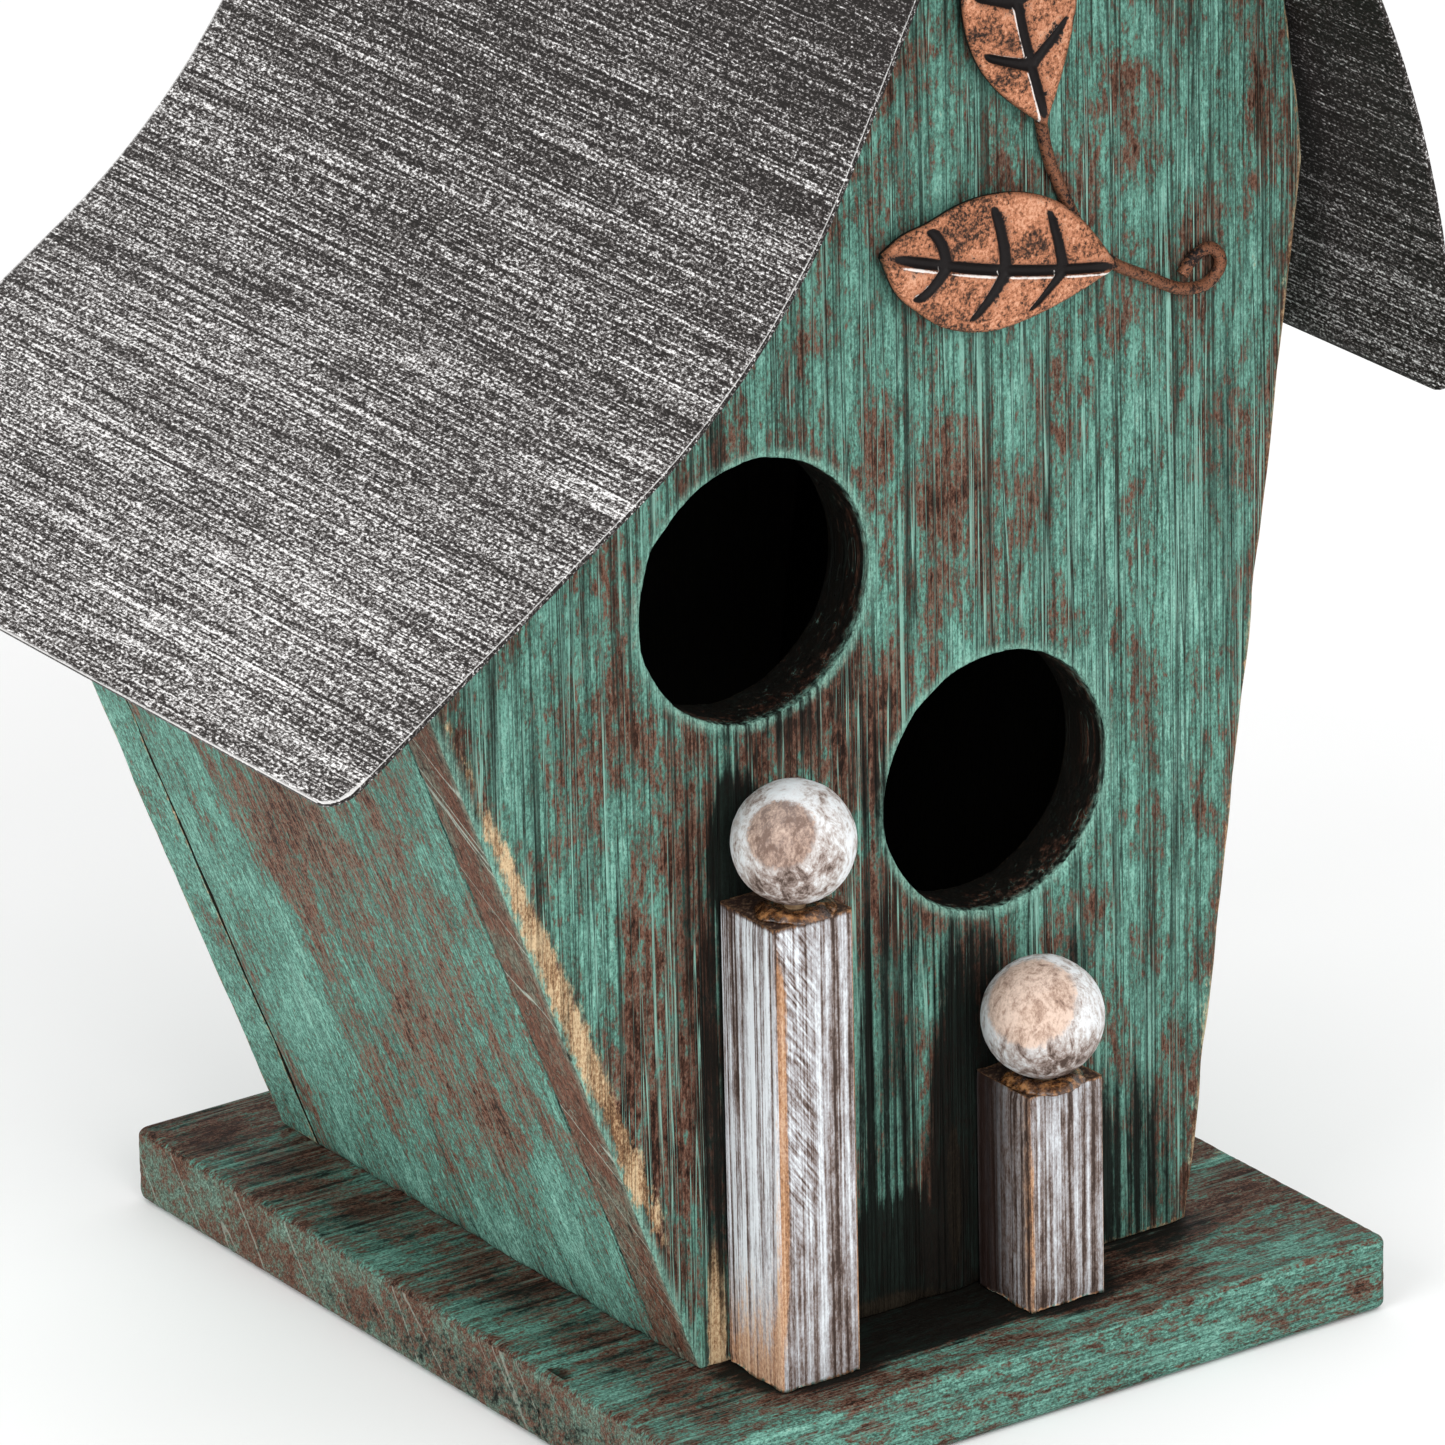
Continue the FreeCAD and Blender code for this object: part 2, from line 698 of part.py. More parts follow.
os.makedirs("parts", exist_ok=True)
for name, shape in build().items():
    shape.exportStep(os.path.join("parts", name + ".step"))
    whole = "ok" if shape.isValid() else "NOT VALID"
    print("%-22s %2d solids %10.1f mm3 %s" % (name, len(shape.Solids), shape.Volume, whole))
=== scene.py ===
import math

import bmesh
import bpy
from mathutils import Matrix, Vector, kdtree, noise


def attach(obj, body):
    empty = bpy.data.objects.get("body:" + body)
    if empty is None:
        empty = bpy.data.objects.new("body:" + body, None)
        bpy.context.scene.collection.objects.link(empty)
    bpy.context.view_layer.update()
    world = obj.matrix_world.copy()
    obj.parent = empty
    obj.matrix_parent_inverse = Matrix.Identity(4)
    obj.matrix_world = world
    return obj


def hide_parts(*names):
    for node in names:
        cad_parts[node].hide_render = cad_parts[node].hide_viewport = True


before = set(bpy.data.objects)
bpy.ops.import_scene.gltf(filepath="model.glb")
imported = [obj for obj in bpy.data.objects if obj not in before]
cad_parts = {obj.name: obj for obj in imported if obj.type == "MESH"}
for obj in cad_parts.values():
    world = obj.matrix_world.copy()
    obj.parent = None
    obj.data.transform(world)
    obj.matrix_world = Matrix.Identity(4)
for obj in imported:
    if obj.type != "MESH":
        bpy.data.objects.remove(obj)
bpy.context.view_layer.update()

MM = 0.001

# ---- places that repeat the part's own dimensions, in millimetres ----
FRONT_Y = -49.0
FOOT_Z = 11.2
FOOT_LEFT_X, FOOT_RIGHT_X = -43.1, 41.7
LEFT_LEAN, RIGHT_LEAN = 0.385, 0.1362
HOLES = ((-31.1, 124.9), (9.1, 87.1))
HOLE_RADIUS = 19.0
TALL_X, TALL_TOP = -31.65, 81.0
SHORT_X, SHORT_TOP = 11.1, 44.6
POST_DEPTH = 13.4
POST_HALF_WIDTH = 6.6         # the mean of the two posts
BALL_RADIUS = 8.85
TALL_BALL = (-31.65, -57.95, 91.13)
SHORT_BALL = (10.1, -57.95, 54.15)
LEAF_BACK_Y = -51.0
LEAF_THICK = 1.6
LEAF_LENGTH = 41.4
LOWER_LEAF = (29.1, 159.8, 166.0)      # x and z of its stem's end, and its angle in degrees
UPPER_LEAF = (16.9, 182.6, 101.0)

# ---- mesh work ----
WELD = 1e-5
FLAT_ANGLE = math.radians(0.6)
SHARP_ANGLE = math.radians(35)
SHORTEST_ARRIS = 0.6 * MM
ARRIS_ROUND = 0.4 * MM
SHEET_ROUND = 0.15 * MM
FAR = 12.0                    # distances to an arris are kept up to this, in millimetres
CHIP_REACH = 1.6              # how far from an arris the wood is chipped, in millimetres
MARKS = ("paint", "dark", "bare", "green", "tone")     # fields set by the marks of a surface


def clamp(value):
    return max(0.0, min(1.0, value))


def fade(away, reach):
    """1 at no distance, falling evenly to 0 at the reach."""
    return max(0.0, 1 - away / reach)


def bell(away, width, power=2):
    """1 at no distance, falling smoothly; a higher power has a flatter top and steeper sides."""
    return math.exp(-(abs(away) / width) ** power)


# ------------------------------------------------------------------ node helpers
class Net:
    """A material's node tree, with one short method for each kind of node it needs."""

    def __init__(self, name):
        self.material = bpy.data.materials.new(name)
        self.material.use_nodes = True
        self.tree = self.material.node_tree
        self.shader = self.tree.nodes["Principled BSDF"]

    def put(self, socket, value):
        """Link the value if it is a socket, else set it as a constant."""
        if isinstance(value, bpy.types.NodeSocket):
            self.tree.links.new(value, socket)
        elif isinstance(value, tuple) and len(value) == 3 and socket.type == "RGBA":
            socket.default_value = (*value, 1)
        else:
            socket.default_value = value

    def node(self, kind, **settings):
        made = self.tree.nodes.new(kind)
        for key, value in settings.items():
            setattr(made, key, value)
        return made

    def attribute(self, name):
        return self.node("ShaderNodeAttribute", attribute_name=name)

    def value_of(self, name):
        return self.attribute(name).outputs["Fac"]

    def vector_of(self, name):
        return self.attribute(name).outputs["Vector"]

    def object_mm(self):
        coords = self.node("ShaderNodeTexCoord").outputs["Object"]
        return self.stretch(coords, 1 / MM, 1 / MM, 1 / MM)

    def stretch(self, vector, x, y, z, shift=0.0):
        made = self.node("ShaderNodeMapping")
        self.put(made.inputs["Vector"], vector)
        made.inputs["Scale"].default_value = (x, y, z)
        made.inputs["Location"].default_value = (shift, shift * 0.7, shift * 0.3)
        return made.outputs["Vector"]

    def turned(self, vector, about_x, about_y):
        """The vector turned by two angles in degrees."""
        made = self.node("ShaderNodeMapping")
        self.put(made.inputs["Vector"], vector)
        made.inputs["Rotation"].default_value = (math.radians(about_x), math.radians(about_y), 0)
        return made.outputs["Vector"]

    def noise(self, vector, scale=1.0, detail=3.0, rough=0.55, twist=0.0):
        made = self.node("ShaderNodeTexNoise")
        self.put(made.inputs["Vector"], vector)
        made.inputs["Scale"].default_value = scale
        made.inputs["Detail"].default_value = detail
        made.inputs["Roughness"].default_value = rough
        made.inputs["Distortion"].default_value = twist
        return made.outputs["Fac"]

    def streaks(self, grain, across, along, detail=3.0, rough=0.55, twist=0.0, shift=0.0):
        """Noise stretched along the grain; across and along are features per millimetre."""
        place = self.stretch(grain, across, across, along, shift)
        return self.noise(place, 1.0, detail, rough, twist)

    def ridge_highlight_and_shadow(self, grain, across, along, level, shift):
        """Thin long lines: a painted highlight along a ridge, and a painted shadow close beside it.
        """
        field = self.streaks(grain, across, along, 2, 0.5, 0.0, shift)
        masks = []
        for place, width in ((level, 0.013), (level - 0.022, 0.014)):
            away = self.math("ABSOLUTE", self.math("SUBTRACT", field, place))
            masks.append(self.step(away, 0.0, width, 1.0, 0.0))
        return masks

    def math(self, what, a, b=0.0, c=0.0):
        made = self.node("ShaderNodeMath", operation=what)
        for socket, value in zip(made.inputs, (a, b, c)):
            self.put(socket, value)
        return made.outputs["Value"]

    def product(self, first, *others):
        for other in others:
            first = self.math("MULTIPLY", first, other)
        return first

    def sum(self, *pairs):
        """Weighted sum of (weight, value) pairs."""
        total = self.math("MULTIPLY", pairs[0][1], pairs[0][0])
        for weight, value in pairs[1:]:
            total = self.math("MULTIPLY_ADD", value, weight, total)
        return total

    def step(self, value, low, high, to_low=0.0, to_high=1.0):
        """Smooth step from to_low at low to to_high at high."""
        made = self.node("ShaderNodeMapRange", interpolation_type="SMOOTHSTEP")
        for key, number in (("Value", value), ("From Min", low), ("From Max", high),
                            ("To Min", to_low), ("To Max", to_high)):
            self.put(made.inputs[key], number)
        return made.outputs["Result"]

    def ramp(self, value, *stops):
        """Colour ramp through some (place, colour) stops."""
        made = self.node("ShaderNodeValToRGB")
        self.put(made.inputs["Fac"], value)
        elements = made.color_ramp.elements
        while len(elements) < len(stops):
            elements.new(0.5)
        for element, (place, colour) in zip(elements, stops):
            element.position = place
            element.color = (*colour, 1)
        return made.outputs["Color"]

    def mix(self, share, a, b, how="MIX"):
        """Mix of two colours; the numbers pick the node's colour sockets."""
        made = self.node("ShaderNodeMix", data_type="RGBA", blend_type=how)
        self.put(made.inputs[0], share)
        self.put(made.inputs[6], a)
        self.put(made.inputs[7], b)
        return made.outputs[2]

    def bump(self, height, depth_mm, strength=1.0):
        made = self.node("ShaderNodeBump")
        self.put(made.inputs["Height"], height)
        made.inputs["Distance"].default_value = depth_mm * MM
        made.inputs["Strength"].default_value = strength
        return made.outputs["Normal"]

    def finish(self, colour, rough, normal=None, **fixed):
        """Set the shader's sockets; fixed names others, with _ for a space."""
        self.put(self.shader.inputs["Base Color"], colour)
        self.put(self.shader.inputs["Roughness"], rough)
        if normal is not None:
            self.put(self.shader.inputs["Normal"], normal)
        for key, value in fixed.items():
            self.put(self.shader.inputs[key.replace("_", " ")], value)
        return self.material


# ------------------------------------------------------------------ materials
SCRATCH_ANGLE = 40            # degrees, of the scratches across the front board's left edge
SAW_ANGLE = 36                # degrees, of a post's saw marks from the upright


def times(colour, factor):
    return tuple(channel * factor for channel in colour)


def painted_wood(name, shift, lines, scuffed, bright, wood):
    """Teal paint, worn through to stained brown wood, with bare arrises, dark stains and painted
    shade.

    lines is how strong the long grain lines are, scuffed the size of the small worn spots, bright
    and wood how light the whole surface and the brown wood are. The tone field is how strong the
    brown tint and the scratches of the front board's left edge are.
    """
    net = Net(name)
    grain = net.vector_of("grain")
    fine = net.streaks(grain, 2.0, 0.10, 3, 0.6, 0.0, shift)
    broad = net.streaks(grain, 0.35, 0.010, 3, 0.6, 0.2, shift + 11)
    blotch = net.streaks(grain, 0.10, 0.045, 5, 0.66, 0.5, shift + 23)
    scuff = net.streaks(grain, 1.1 / scuffed, 0.42 / scuffed, 6, 0.78, 0.2, shift + 37)
    speck = net.streaks(grain, 3.2, 1.9, 3, 0.7, 0.0, shift + 45)

    spots = 0.12 * (1 - lines)
    cover = net.sum((0.38 - spots, blotch), (0.11 * lines, broad), (0.10 * lines, fine),
                    (0.38 + spots, scuff), (0.03 + 0.21 * (1 - lines), speck),
                    (1.0, net.value_of("paint")))
    colour = net.ramp(cover, (0.395, (0.020, 0.009, 0.006)),
                      (0.435, times((0.075, 0.034, 0.022), wood)),
                      (0.462, times((0.120, 0.064, 0.045), wood)), (0.482, (0.085, 0.095, 0.074)),
                      (0.505, (0.070, 0.160, 0.124)), (0.545, (0.105, 0.245, 0.196)),
                      (0.600, (0.175, 0.350, 0.285)))
    shade = net.step(net.sum((0.6, speck), (0.4, fine)), 0.38, 0.60, 0.52 * bright, 1.30 * bright)
    colour = net.mix(1.0, colour, shade, "MULTIPLY")

    # long lines along the grain, each a painted highlight on a ridge with a painted shadow beside
    # it, and furrows in the wood
    on_face = net.step(net.value_of("paint"), -0.11, -0.07)
    present = net.step(net.streaks(grain, 0.35, 0.035, 3, 0.6, 0.0, shift + 57), 0.40, 0.52)
    light, dark = net.ridge_highlight_and_shadow(grain, 0.42, 0.0045, 0.53, shift + 51)
    light_b, dark_b = net.ridge_highlight_and_shadow(grain, 0.75, 0.006, 0.50, shift + 91)
    light = net.math("MAXIMUM", light, light_b)
    dark = net.math("MAXIMUM", dark, dark_b)
    colour = net.mix(net.product(dark, 0.80 * lines), colour, (0.013, 0.011, 0.008))
    colour = net.mix(net.product(light, net.product(present, on_face), 0.80 * lines), colour,
                     (0.24, 0.46, 0.38))
    second = net.streaks(grain, 1.1, 0.010, 2, 0.5, 0.0, shift + 67)
    furrow = net.step(second, 0.585, 0.66, 0.0, 0.55 * lines)
    colour = net.mix(furrow, colour, (0.018, 0.013, 0.009))

    # whole paint along the rims, then wood rubbed bare on the arrises and in patches
    rim = net.math("ADD", net.value_of("rim"), net.product(scuff, 3.2))
    colour = net.mix(net.step(rim, 1.9, 3.5, 0.80, 0.0), colour,
                     net.mix(1.0, (0.17, 0.34, 0.275), shade, "MULTIPLY"))
    arris = net.math("ADD", net.value_of("arris"), net.product(scuff, 3.6))
    rubbed = net.step(arris, 1.9, 2.5, 0.85, 0.0)
    tan = net.ramp(net.sum((0.15, fine), (0.45, blotch), (0.4, speck)),
                   (0.41, (0.14, 0.070, 0.036)), (0.47, (0.33, 0.205, 0.110)),
                   (0.55, (0.58, 0.435, 0.265)))
    colour = net.mix(rubbed, colour, tan)
    bare = net.step(net.sum((1.0, net.value_of("bare")), (0.6, scuff), (0.4, blotch)), 0.62, 0.74)
    colour = net.mix(bare, colour, tan)

    # tint and slanting scratches
    place = net.stretch(net.turned(net.object_mm(), SCRATCH_ANGLE, 0), 0.01, 0.15, 0.010)
    slant = net.math("ABSOLUTE", net.math("SUBTRACT", net.noise(place, 1.0, 1, 0.5), 0.5))
    scratch = net.step(slant, 0.003, 0.009, 0.80, 0.0)
    strip = net.value_of("tone")
    colour = net.mix(net.product(strip, 0.55), colour,
                     net.mix(1.0, (0.185, 0.085, 0.055), shade, "MULTIPLY"))
    colour = net.mix(net.product(scratch, strip), colour, (0.40, 0.47, 0.40))

    streaky = 0.4 + 0.6 * lines
    # the dark field darkens toward near black: dark stains and joints, and painted shade around the
    # posts and balls, in the holes, inside the house, in the creases at the base and below the
    # clean-out cover
    stain_and_shade = net.step(net.sum((1.0, net.value_of("dark")), (3.0 - 2.2 * streaky, scuff),
                             (1.1 * streaky, broad), (1.1 * streaky, second)), 1.60, 2.02)
    colour = net.mix(net.product(stain_and_shade, 0.97), colour, (0.005, 0.005, 0.004))

    height = net.sum((1.0, cover), (0.5, fine), (0.35, speck), (-0.6 * lines, furrow),
                     (0.5 * lines, light), (-0.6 * lines, dark))
    rough = net.step(scuff, 0.3, 0.7, 0.55, 0.78)
    return net.finish(colour, rough, net.bump(height, 0.2, 0.9), Specular_IOR_Level=0.08)


def whitewash(name, shift, streaky):
    """White rubbed over brown wood; streaky on the posts, cloudy on the balls.

    The tone field is how strong the slanting saw marks (above 0) or the grain's ribs (below 0)
    are on a post, and how light bare wood is on a ball.
    """
    net = Net(name)
    grain = net.vector_of("grain")
    tone = net.value_of("tone")
    speck = net.streaks(grain, 3.0, 1.8, 3, 0.7, 0.0, shift + 3)
    if streaky:
        fine = net.streaks(grain, 1.3, 0.012, 3, 0.65, 0.0, shift)
        cloud = net.streaks(grain, 0.22, 0.045, 4, 0.6, 0.3, shift + 5)
        scuff = net.streaks(grain, 1.0, 0.28, 6, 0.75, 0.2, shift + 9)
        place = net.stretch(net.turned(net.object_mm(), 0, SAW_ANGLE), 2.6, 0.2, 0.22)
        saw = net.math("SUBTRACT", net.noise(place, 1.0, 3, 0.6), 0.5)
        saw = net.product(saw, net.math("MAXIMUM", tone, 0.0))
        ribs = net.math("SUBTRACT", fine, 0.5)
        ribs = net.product(ribs, net.math("MAXIMUM", net.product(tone, -1.0), 0.0))
        level = net.sum((0.46, fine), (0.18, cloud), (0.24, scuff), (0.12, speck), (1.0, saw),
                        (1.0, ribs), (1.0, net.value_of("paint")))
        colour = net.ramp(level, (0.395, (0.045, 0.028, 0.022)), (0.435, (0.15, 0.110, 0.095)),
                          (0.470, (0.28, 0.255, 0.255)), (0.510, (0.44, 0.44, 0.46)),
                          (0.560, (0.68, 0.72, 0.75)))
        tan = net.ramp(net.sum((0.6, fine), (0.4, speck)), (0.40, (0.17, 0.075, 0.035)),
                       (0.50, (0.42, 0.215, 0.105)), (0.60, (0.62, 0.40, 0.24)))
    else:
        fine = net.streaks(grain, 0.40, 0.22, 4, 0.65, 1.2, shift)
        cloud = net.streaks(grain, 0.11, 0.08, 4, 0.6, 0.8, shift + 5)
        scuff = net.streaks(grain, 1.2, 0.9, 6, 0.75, 0.2, shift + 9)
        level = net.sum((0.34, fine), (0.32, cloud), (0.26, scuff), (0.08, speck),
                        (1.0, net.value_of("paint")))
        colour = net.ramp(level, (0.385, (0.07, 0.045, 0.035)), (0.435, (0.26, 0.20, 0.175)),
                          (0.480, (0.48, 0.44, 0.42)), (0.530, (0.70, 0.71, 0.72)),
                          (0.600, (0.76, 0.80, 0.82)))
        tan = net.ramp(net.sum((0.45, fine), (0.25, scuff), (0.3, speck), (1.0, tone)),
                       (0.40, (0.17, 0.105, 0.080)), (0.50, (0.40, 0.270, 0.205)),
                       (0.60, (0.66, 0.49, 0.39)))
    arris = net.math("ADD", net.value_of("arris"), net.product(scuff, 2.6))
    colour = net.mix(net.step(arris, 1.35, 1.8, 0.9, 0.0), colour, tan)
    bare = net.step(net.sum((1.0, net.value_of("bare")), (0.5, scuff), (0.5, fine)), 0.62, 0.78)
    colour = net.mix(net.product(bare, 0.9), colour, tan)
    green = net.step(net.sum((1.0, net.value_of("green")), (0.6, scuff)), 0.58, 0.68)
    colour = net.mix(net.product(green, 0.85), colour, (0.060, 0.165, 0.120))
    # the dark field: dark stain, and painted shade on the posts and on the balls' undersides
    stain_and_shade = net.step(net.sum((1.0, net.value_of("dark")), (0.5, scuff), (0.3, fine)), 0.55, 1.05)
    colour = net.mix(net.product(stain_and_shade, 0.95), colour, (0.020, 0.010, 0.008))
    height = net.sum((0.8, level), (0.6, fine), (0.3, speck))
    return net.finish(colour, net.step(scuff, 0.3, 0.7, 0.55, 0.75), net.bump(height, 0.2, 0.9),
                      Specular_IOR_Level=0.15)


def roof_metal():
    """Black sheet with fine silver dry-brushing along Y, heavier on the rims; brighter toward the
    eaves, a painted sheen, and darker underneath, painted shade.
    """
    net = Net("roof_silver_brushed")
    grain = net.vector_of("grain")
    thin = net.streaks(grain, 3.3, 0.022, 2, 0.6, 0.0, 3)
    dash = net.streaks(grain, 2.0, 0.16, 3, 0.65, 0.0, 53)
    wide = net.streaks(grain, 0.40, 0.012, 4, 0.65, 0.2, 17)
    speck = net.streaks(grain, 2.9, 1.5, 2, 0.7, 0.0, 29)
    cloud = net.streaks(grain, 0.05, 0.02, 4, 0.6, 0.3, 41)
    level = net.sum((0.30, thin), (0.09, dash), (0.50, speck), (0.04, wide), (0.07, cloud),
                    (1.0, net.value_of("tone")))
    colour = net.ramp(level, (0.435, (0.009, 0.007, 0.006)), (0.480, (0.045, 0.039, 0.037)),
                      (0.510, (0.150, 0.140, 0.135)), (0.540, (0.35, 0.34, 0.335)),
                      (0.578, (0.76, 0.75, 0.74)))
    rim = net.math("ADD", net.value_of("arris"), net.product(speck, 0.9))
    colour = net.mix(net.step(rim, 0.62, 0.92, 0.9, 0.0), colour, (0.62, 0.61, 0.60))
    rough = net.step(level, 0.45, 0.6, 0.42, 0.6)
    return net.finish(colour, rough, net.bump(level, 0.12, 0.8), Specular_IOR_Level=0.14)


def copper(name, tarnish):
    """Dry-brushed copper with black left in the hollows, spreading beside the veins as painted
    shade, and silver on the veins' lips as a painted highlight.

    tarnish is how much further the black spreads.
    """
    net = Net(name)
    place = net.object_mm()
    speck = net.noise(place, 1.9, 5, 0.78)
    cloud = net.noise(place, 0.20, 4, 0.6)
    colour = net.ramp(net.sum((0.62, speck), (0.38, cloud)), (0.405, (0.020, 0.013, 0.010)),
                      (0.450, (0.11, 0.050, 0.030)), (0.485, (0.31, 0.120, 0.060)),
                      (0.535, (0.51, 0.210, 0.112)), (0.610, (0.72, 0.39, 0.25)))
    black = net.step(net.sum((1.0, net.value_of("hollow")), (0.9, speck), (0.7, cloud)),
                     1.02 - tarnish, 1.16 - tarnish)
    colour = net.mix(black, colour, (0.008, 0.006, 0.006))
    # painted highlight: silver on the veins' raised lips
    lip_highlight = net.step(net.sum((0.8, net.value_of("raised_lip_highlight")), (0.8, speck), (0.7, cloud)), 1.24, 1.48)
    colour = net.mix(lip_highlight, colour, (0.80, 0.74, 0.70))
    rough = net.math("ADD", net.step(speck, 0.3, 0.7, 0.26, 0.46), net.product(black, 0.2))
    return net.finish(colour, rough, net.bump(net.sum((1.0, speck), (-0.4, black)), 0.08, 0.6),
                      Metallic=net.step(black, 0.0, 1.0, 0.30, 0.0), Specular_IOR_Level=0.15)


def dried_glue():
    """Brown glue, glossy and lumpy."""
    net = Net("glue_brown")
    place = net.object_mm()
    lump = net.noise(place, 0.8, 4, 0.6)
    speck = net.noise(place, 3.0, 3, 0.6)
    colour = net.ramp(lump, (0.38, (0.018, 0.007, 0.003)), (0.50, (0.085, 0.033, 0.011)),
                      (0.64, (0.36, 0.17, 0.065)))
    rough = net.step(speck, 0.4, 0.6, 0.12, 0.35)
    return net.finish(colour, rough, net.bump(speck, 0.12, 0.8), Coat_Weight=0.6,
                      Coat_Roughness=0.1)


def bare_wood():
    """Plain sawn pine, its grain along Y."""
    net = Net("bare_pine")
    place = net.object_mm()
    ring = net.noise(net.stretch(place, 0.5, 0.03, 0.5), 1.0, 4, 0.6, 0.5)
    fleck = net.noise(net.stretch(place, 2.5, 0.15, 2.5), 1.0, 3, 0.6)
    colour = net.ramp(net.sum((0.7, ring), (0.3, fleck)), (0.36, (0.25, 0.14, 0.07)),
                      (0.50, (0.42, 0.28, 0.15)), (0.64, (0.58, 0.43, 0.27)))
    return net.finish(colour, net.step(fleck, 0.3, 0.7, 0.6, 0.8), net.bump(fleck, 0.08, 0.6))


def dull_zinc():
    """Cloudy zinc plating on the screws, nails and the eye."""
    net = Net("zinc_dull")
    place = net.object_mm()
    cloud = net.noise(place, 0.7, 4, 0.65)
    speck = net.noise(place, 4.0, 4, 0.7)
    colour = net.ramp(net.sum((0.6, cloud), (0.4, speck)), (0.34, (0.13, 0.125, 0.12)),
                      (0.50, (0.33, 0.32, 0.31)), (0.66, (0.52, 0.51, 0.49)))
    return net.finish(colour, net.step(speck, 0.3, 0.7, 0.3, 0.5), net.bump(speck, 0.04, 0.5),
                      Metallic=0.9)


# ------------------------------------------------------------------ fields over a surface
def patch_field(u, v, patches):
    """Strongest of some soft elliptical patches (centre u, v, half sizes, amount) at a place."""
    best = 0.0
    for cu, cv, ru, rv, amount in patches:
        away = ((u - cu) / ru) ** 2 + ((v - cv) / rv) ** 2
        if away < 1:
            value = amount * (1 - away) ** 0.7
            if abs(value) > abs(best):
                best = value
    return best


def uneven(place, across, along, seed):
    """Noise from -1 to 1 at a place given in grain coordinates."""
    x, y, z = place
    return noise.noise(Vector((x * across + seed, y * across - seed, z * along)))


# ------------------------------------------------------------------ carved copies of CAD nodes
def cad_copy(node):
    """The node's mesh, welded, with its flat faces whole again."""
    bm = bmesh.new()
    bm.from_mesh(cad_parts[node].data)
    bmesh.ops.remove_doubles(bm, verts=bm.verts, dist=WELD)
    bmesh.ops.dissolve_limit(bm, angle_limit=FLAT_ANGLE, verts=bm.verts, edges=bm.edges)
    return bm


def sharp_edges(bm):
    """Edges that are arrises: sharp, and not too short."""
    return [e for e in bm.edges if len(e.link_faces) == 2 and e.calc_length() > SHORTEST_ARRIS
            and e.calc_face_angle(0) > SHARP_ANGLE]


def samples(edges, spacing=0.4 * MM):
    """Tree of points along some edges, for distances."""
    points = []
    for edge in edges:
        a, b = edge.verts[0].co, edge.verts[1].co
        count = max(1, int((b - a).length / spacing))
        points += [a.lerp(b, i / count) for i in range(count + 1)]
    tree = kdtree.KDTree(len(points))
    for index, point in enumerate(points):
        tree.insert(point, index)
    tree.balance()
    return tree


def distance(tree, point):
    """Millimetres from a point to the nearest of a tree's points."""
    return min(FAR, tree.find(point)[2] / MM)


def slice_along(bm, direction, step):
    """Cut the mesh by evenly spaced planes, so its outline stays exact."""
    direction = direction.normalized()
    reach = [v.co.dot(direction) for v in bm.verts]
    place = min(reach) + step / 2
    last = max(reach)
    while place < last:
        geometry = bm.verts[:] + bm.edges[:] + bm.faces[:]
        bmesh.ops.bisect_plane(bm, geom=geometry, dist=1e-7, plane_co=direction * place,
                               plane_no=direction)
        place += step


def left_wall_x(z):
    return FOOT_LEFT_X - LEFT_LEAN * (z - FOOT_Z)


def on_rim(edge):
    """True on the front circle of an entrance hole and on the front's left arris."""
    for v in edge.verts:
        x, y, z = v.co / MM
        if abs(y - FRONT_Y) > 0.2:
            return False
        away = [abs(math.hypot(x - hole_x, z - hole_z) - HOLE_RADIUS) for hole_x, hole_z in HOLES]
        if min(away) > 0.3 and abs(x - left_wall_x(z)) > 0.2:
            return False
    return True


def store(mesh, name, values):
    """Write an attribute with a number, or a tuple of three, for each vertex."""
    if isinstance(values[0], tuple):
        layer = mesh.attributes.new(name, "FLOAT_VECTOR", "POINT")
        layer.data.foreach_set("vector", [c for value in values for c in value])
    else:
        layer = mesh.attributes.new(name, "FLOAT", "POINT")
        layer.data.foreach_set("value", values)


def add_piece(node, ending, bm, fields, material, body="house"):
    """Object made from the bmesh and its vertices' fields, in the place of a CAD node."""
    mesh = bpy.data.meshes.new(node + ending)
    bm.to_mesh(mesh)
    bm.free()
    for name, values in fields.items():
        store(mesh, name, values)
    piece = bpy.data.objects.new(node + ending, mesh)
    bpy.context.scene.collection.objects.link(piece)
    mesh.materials.append(material)
    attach(piece, body)
    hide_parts(node)


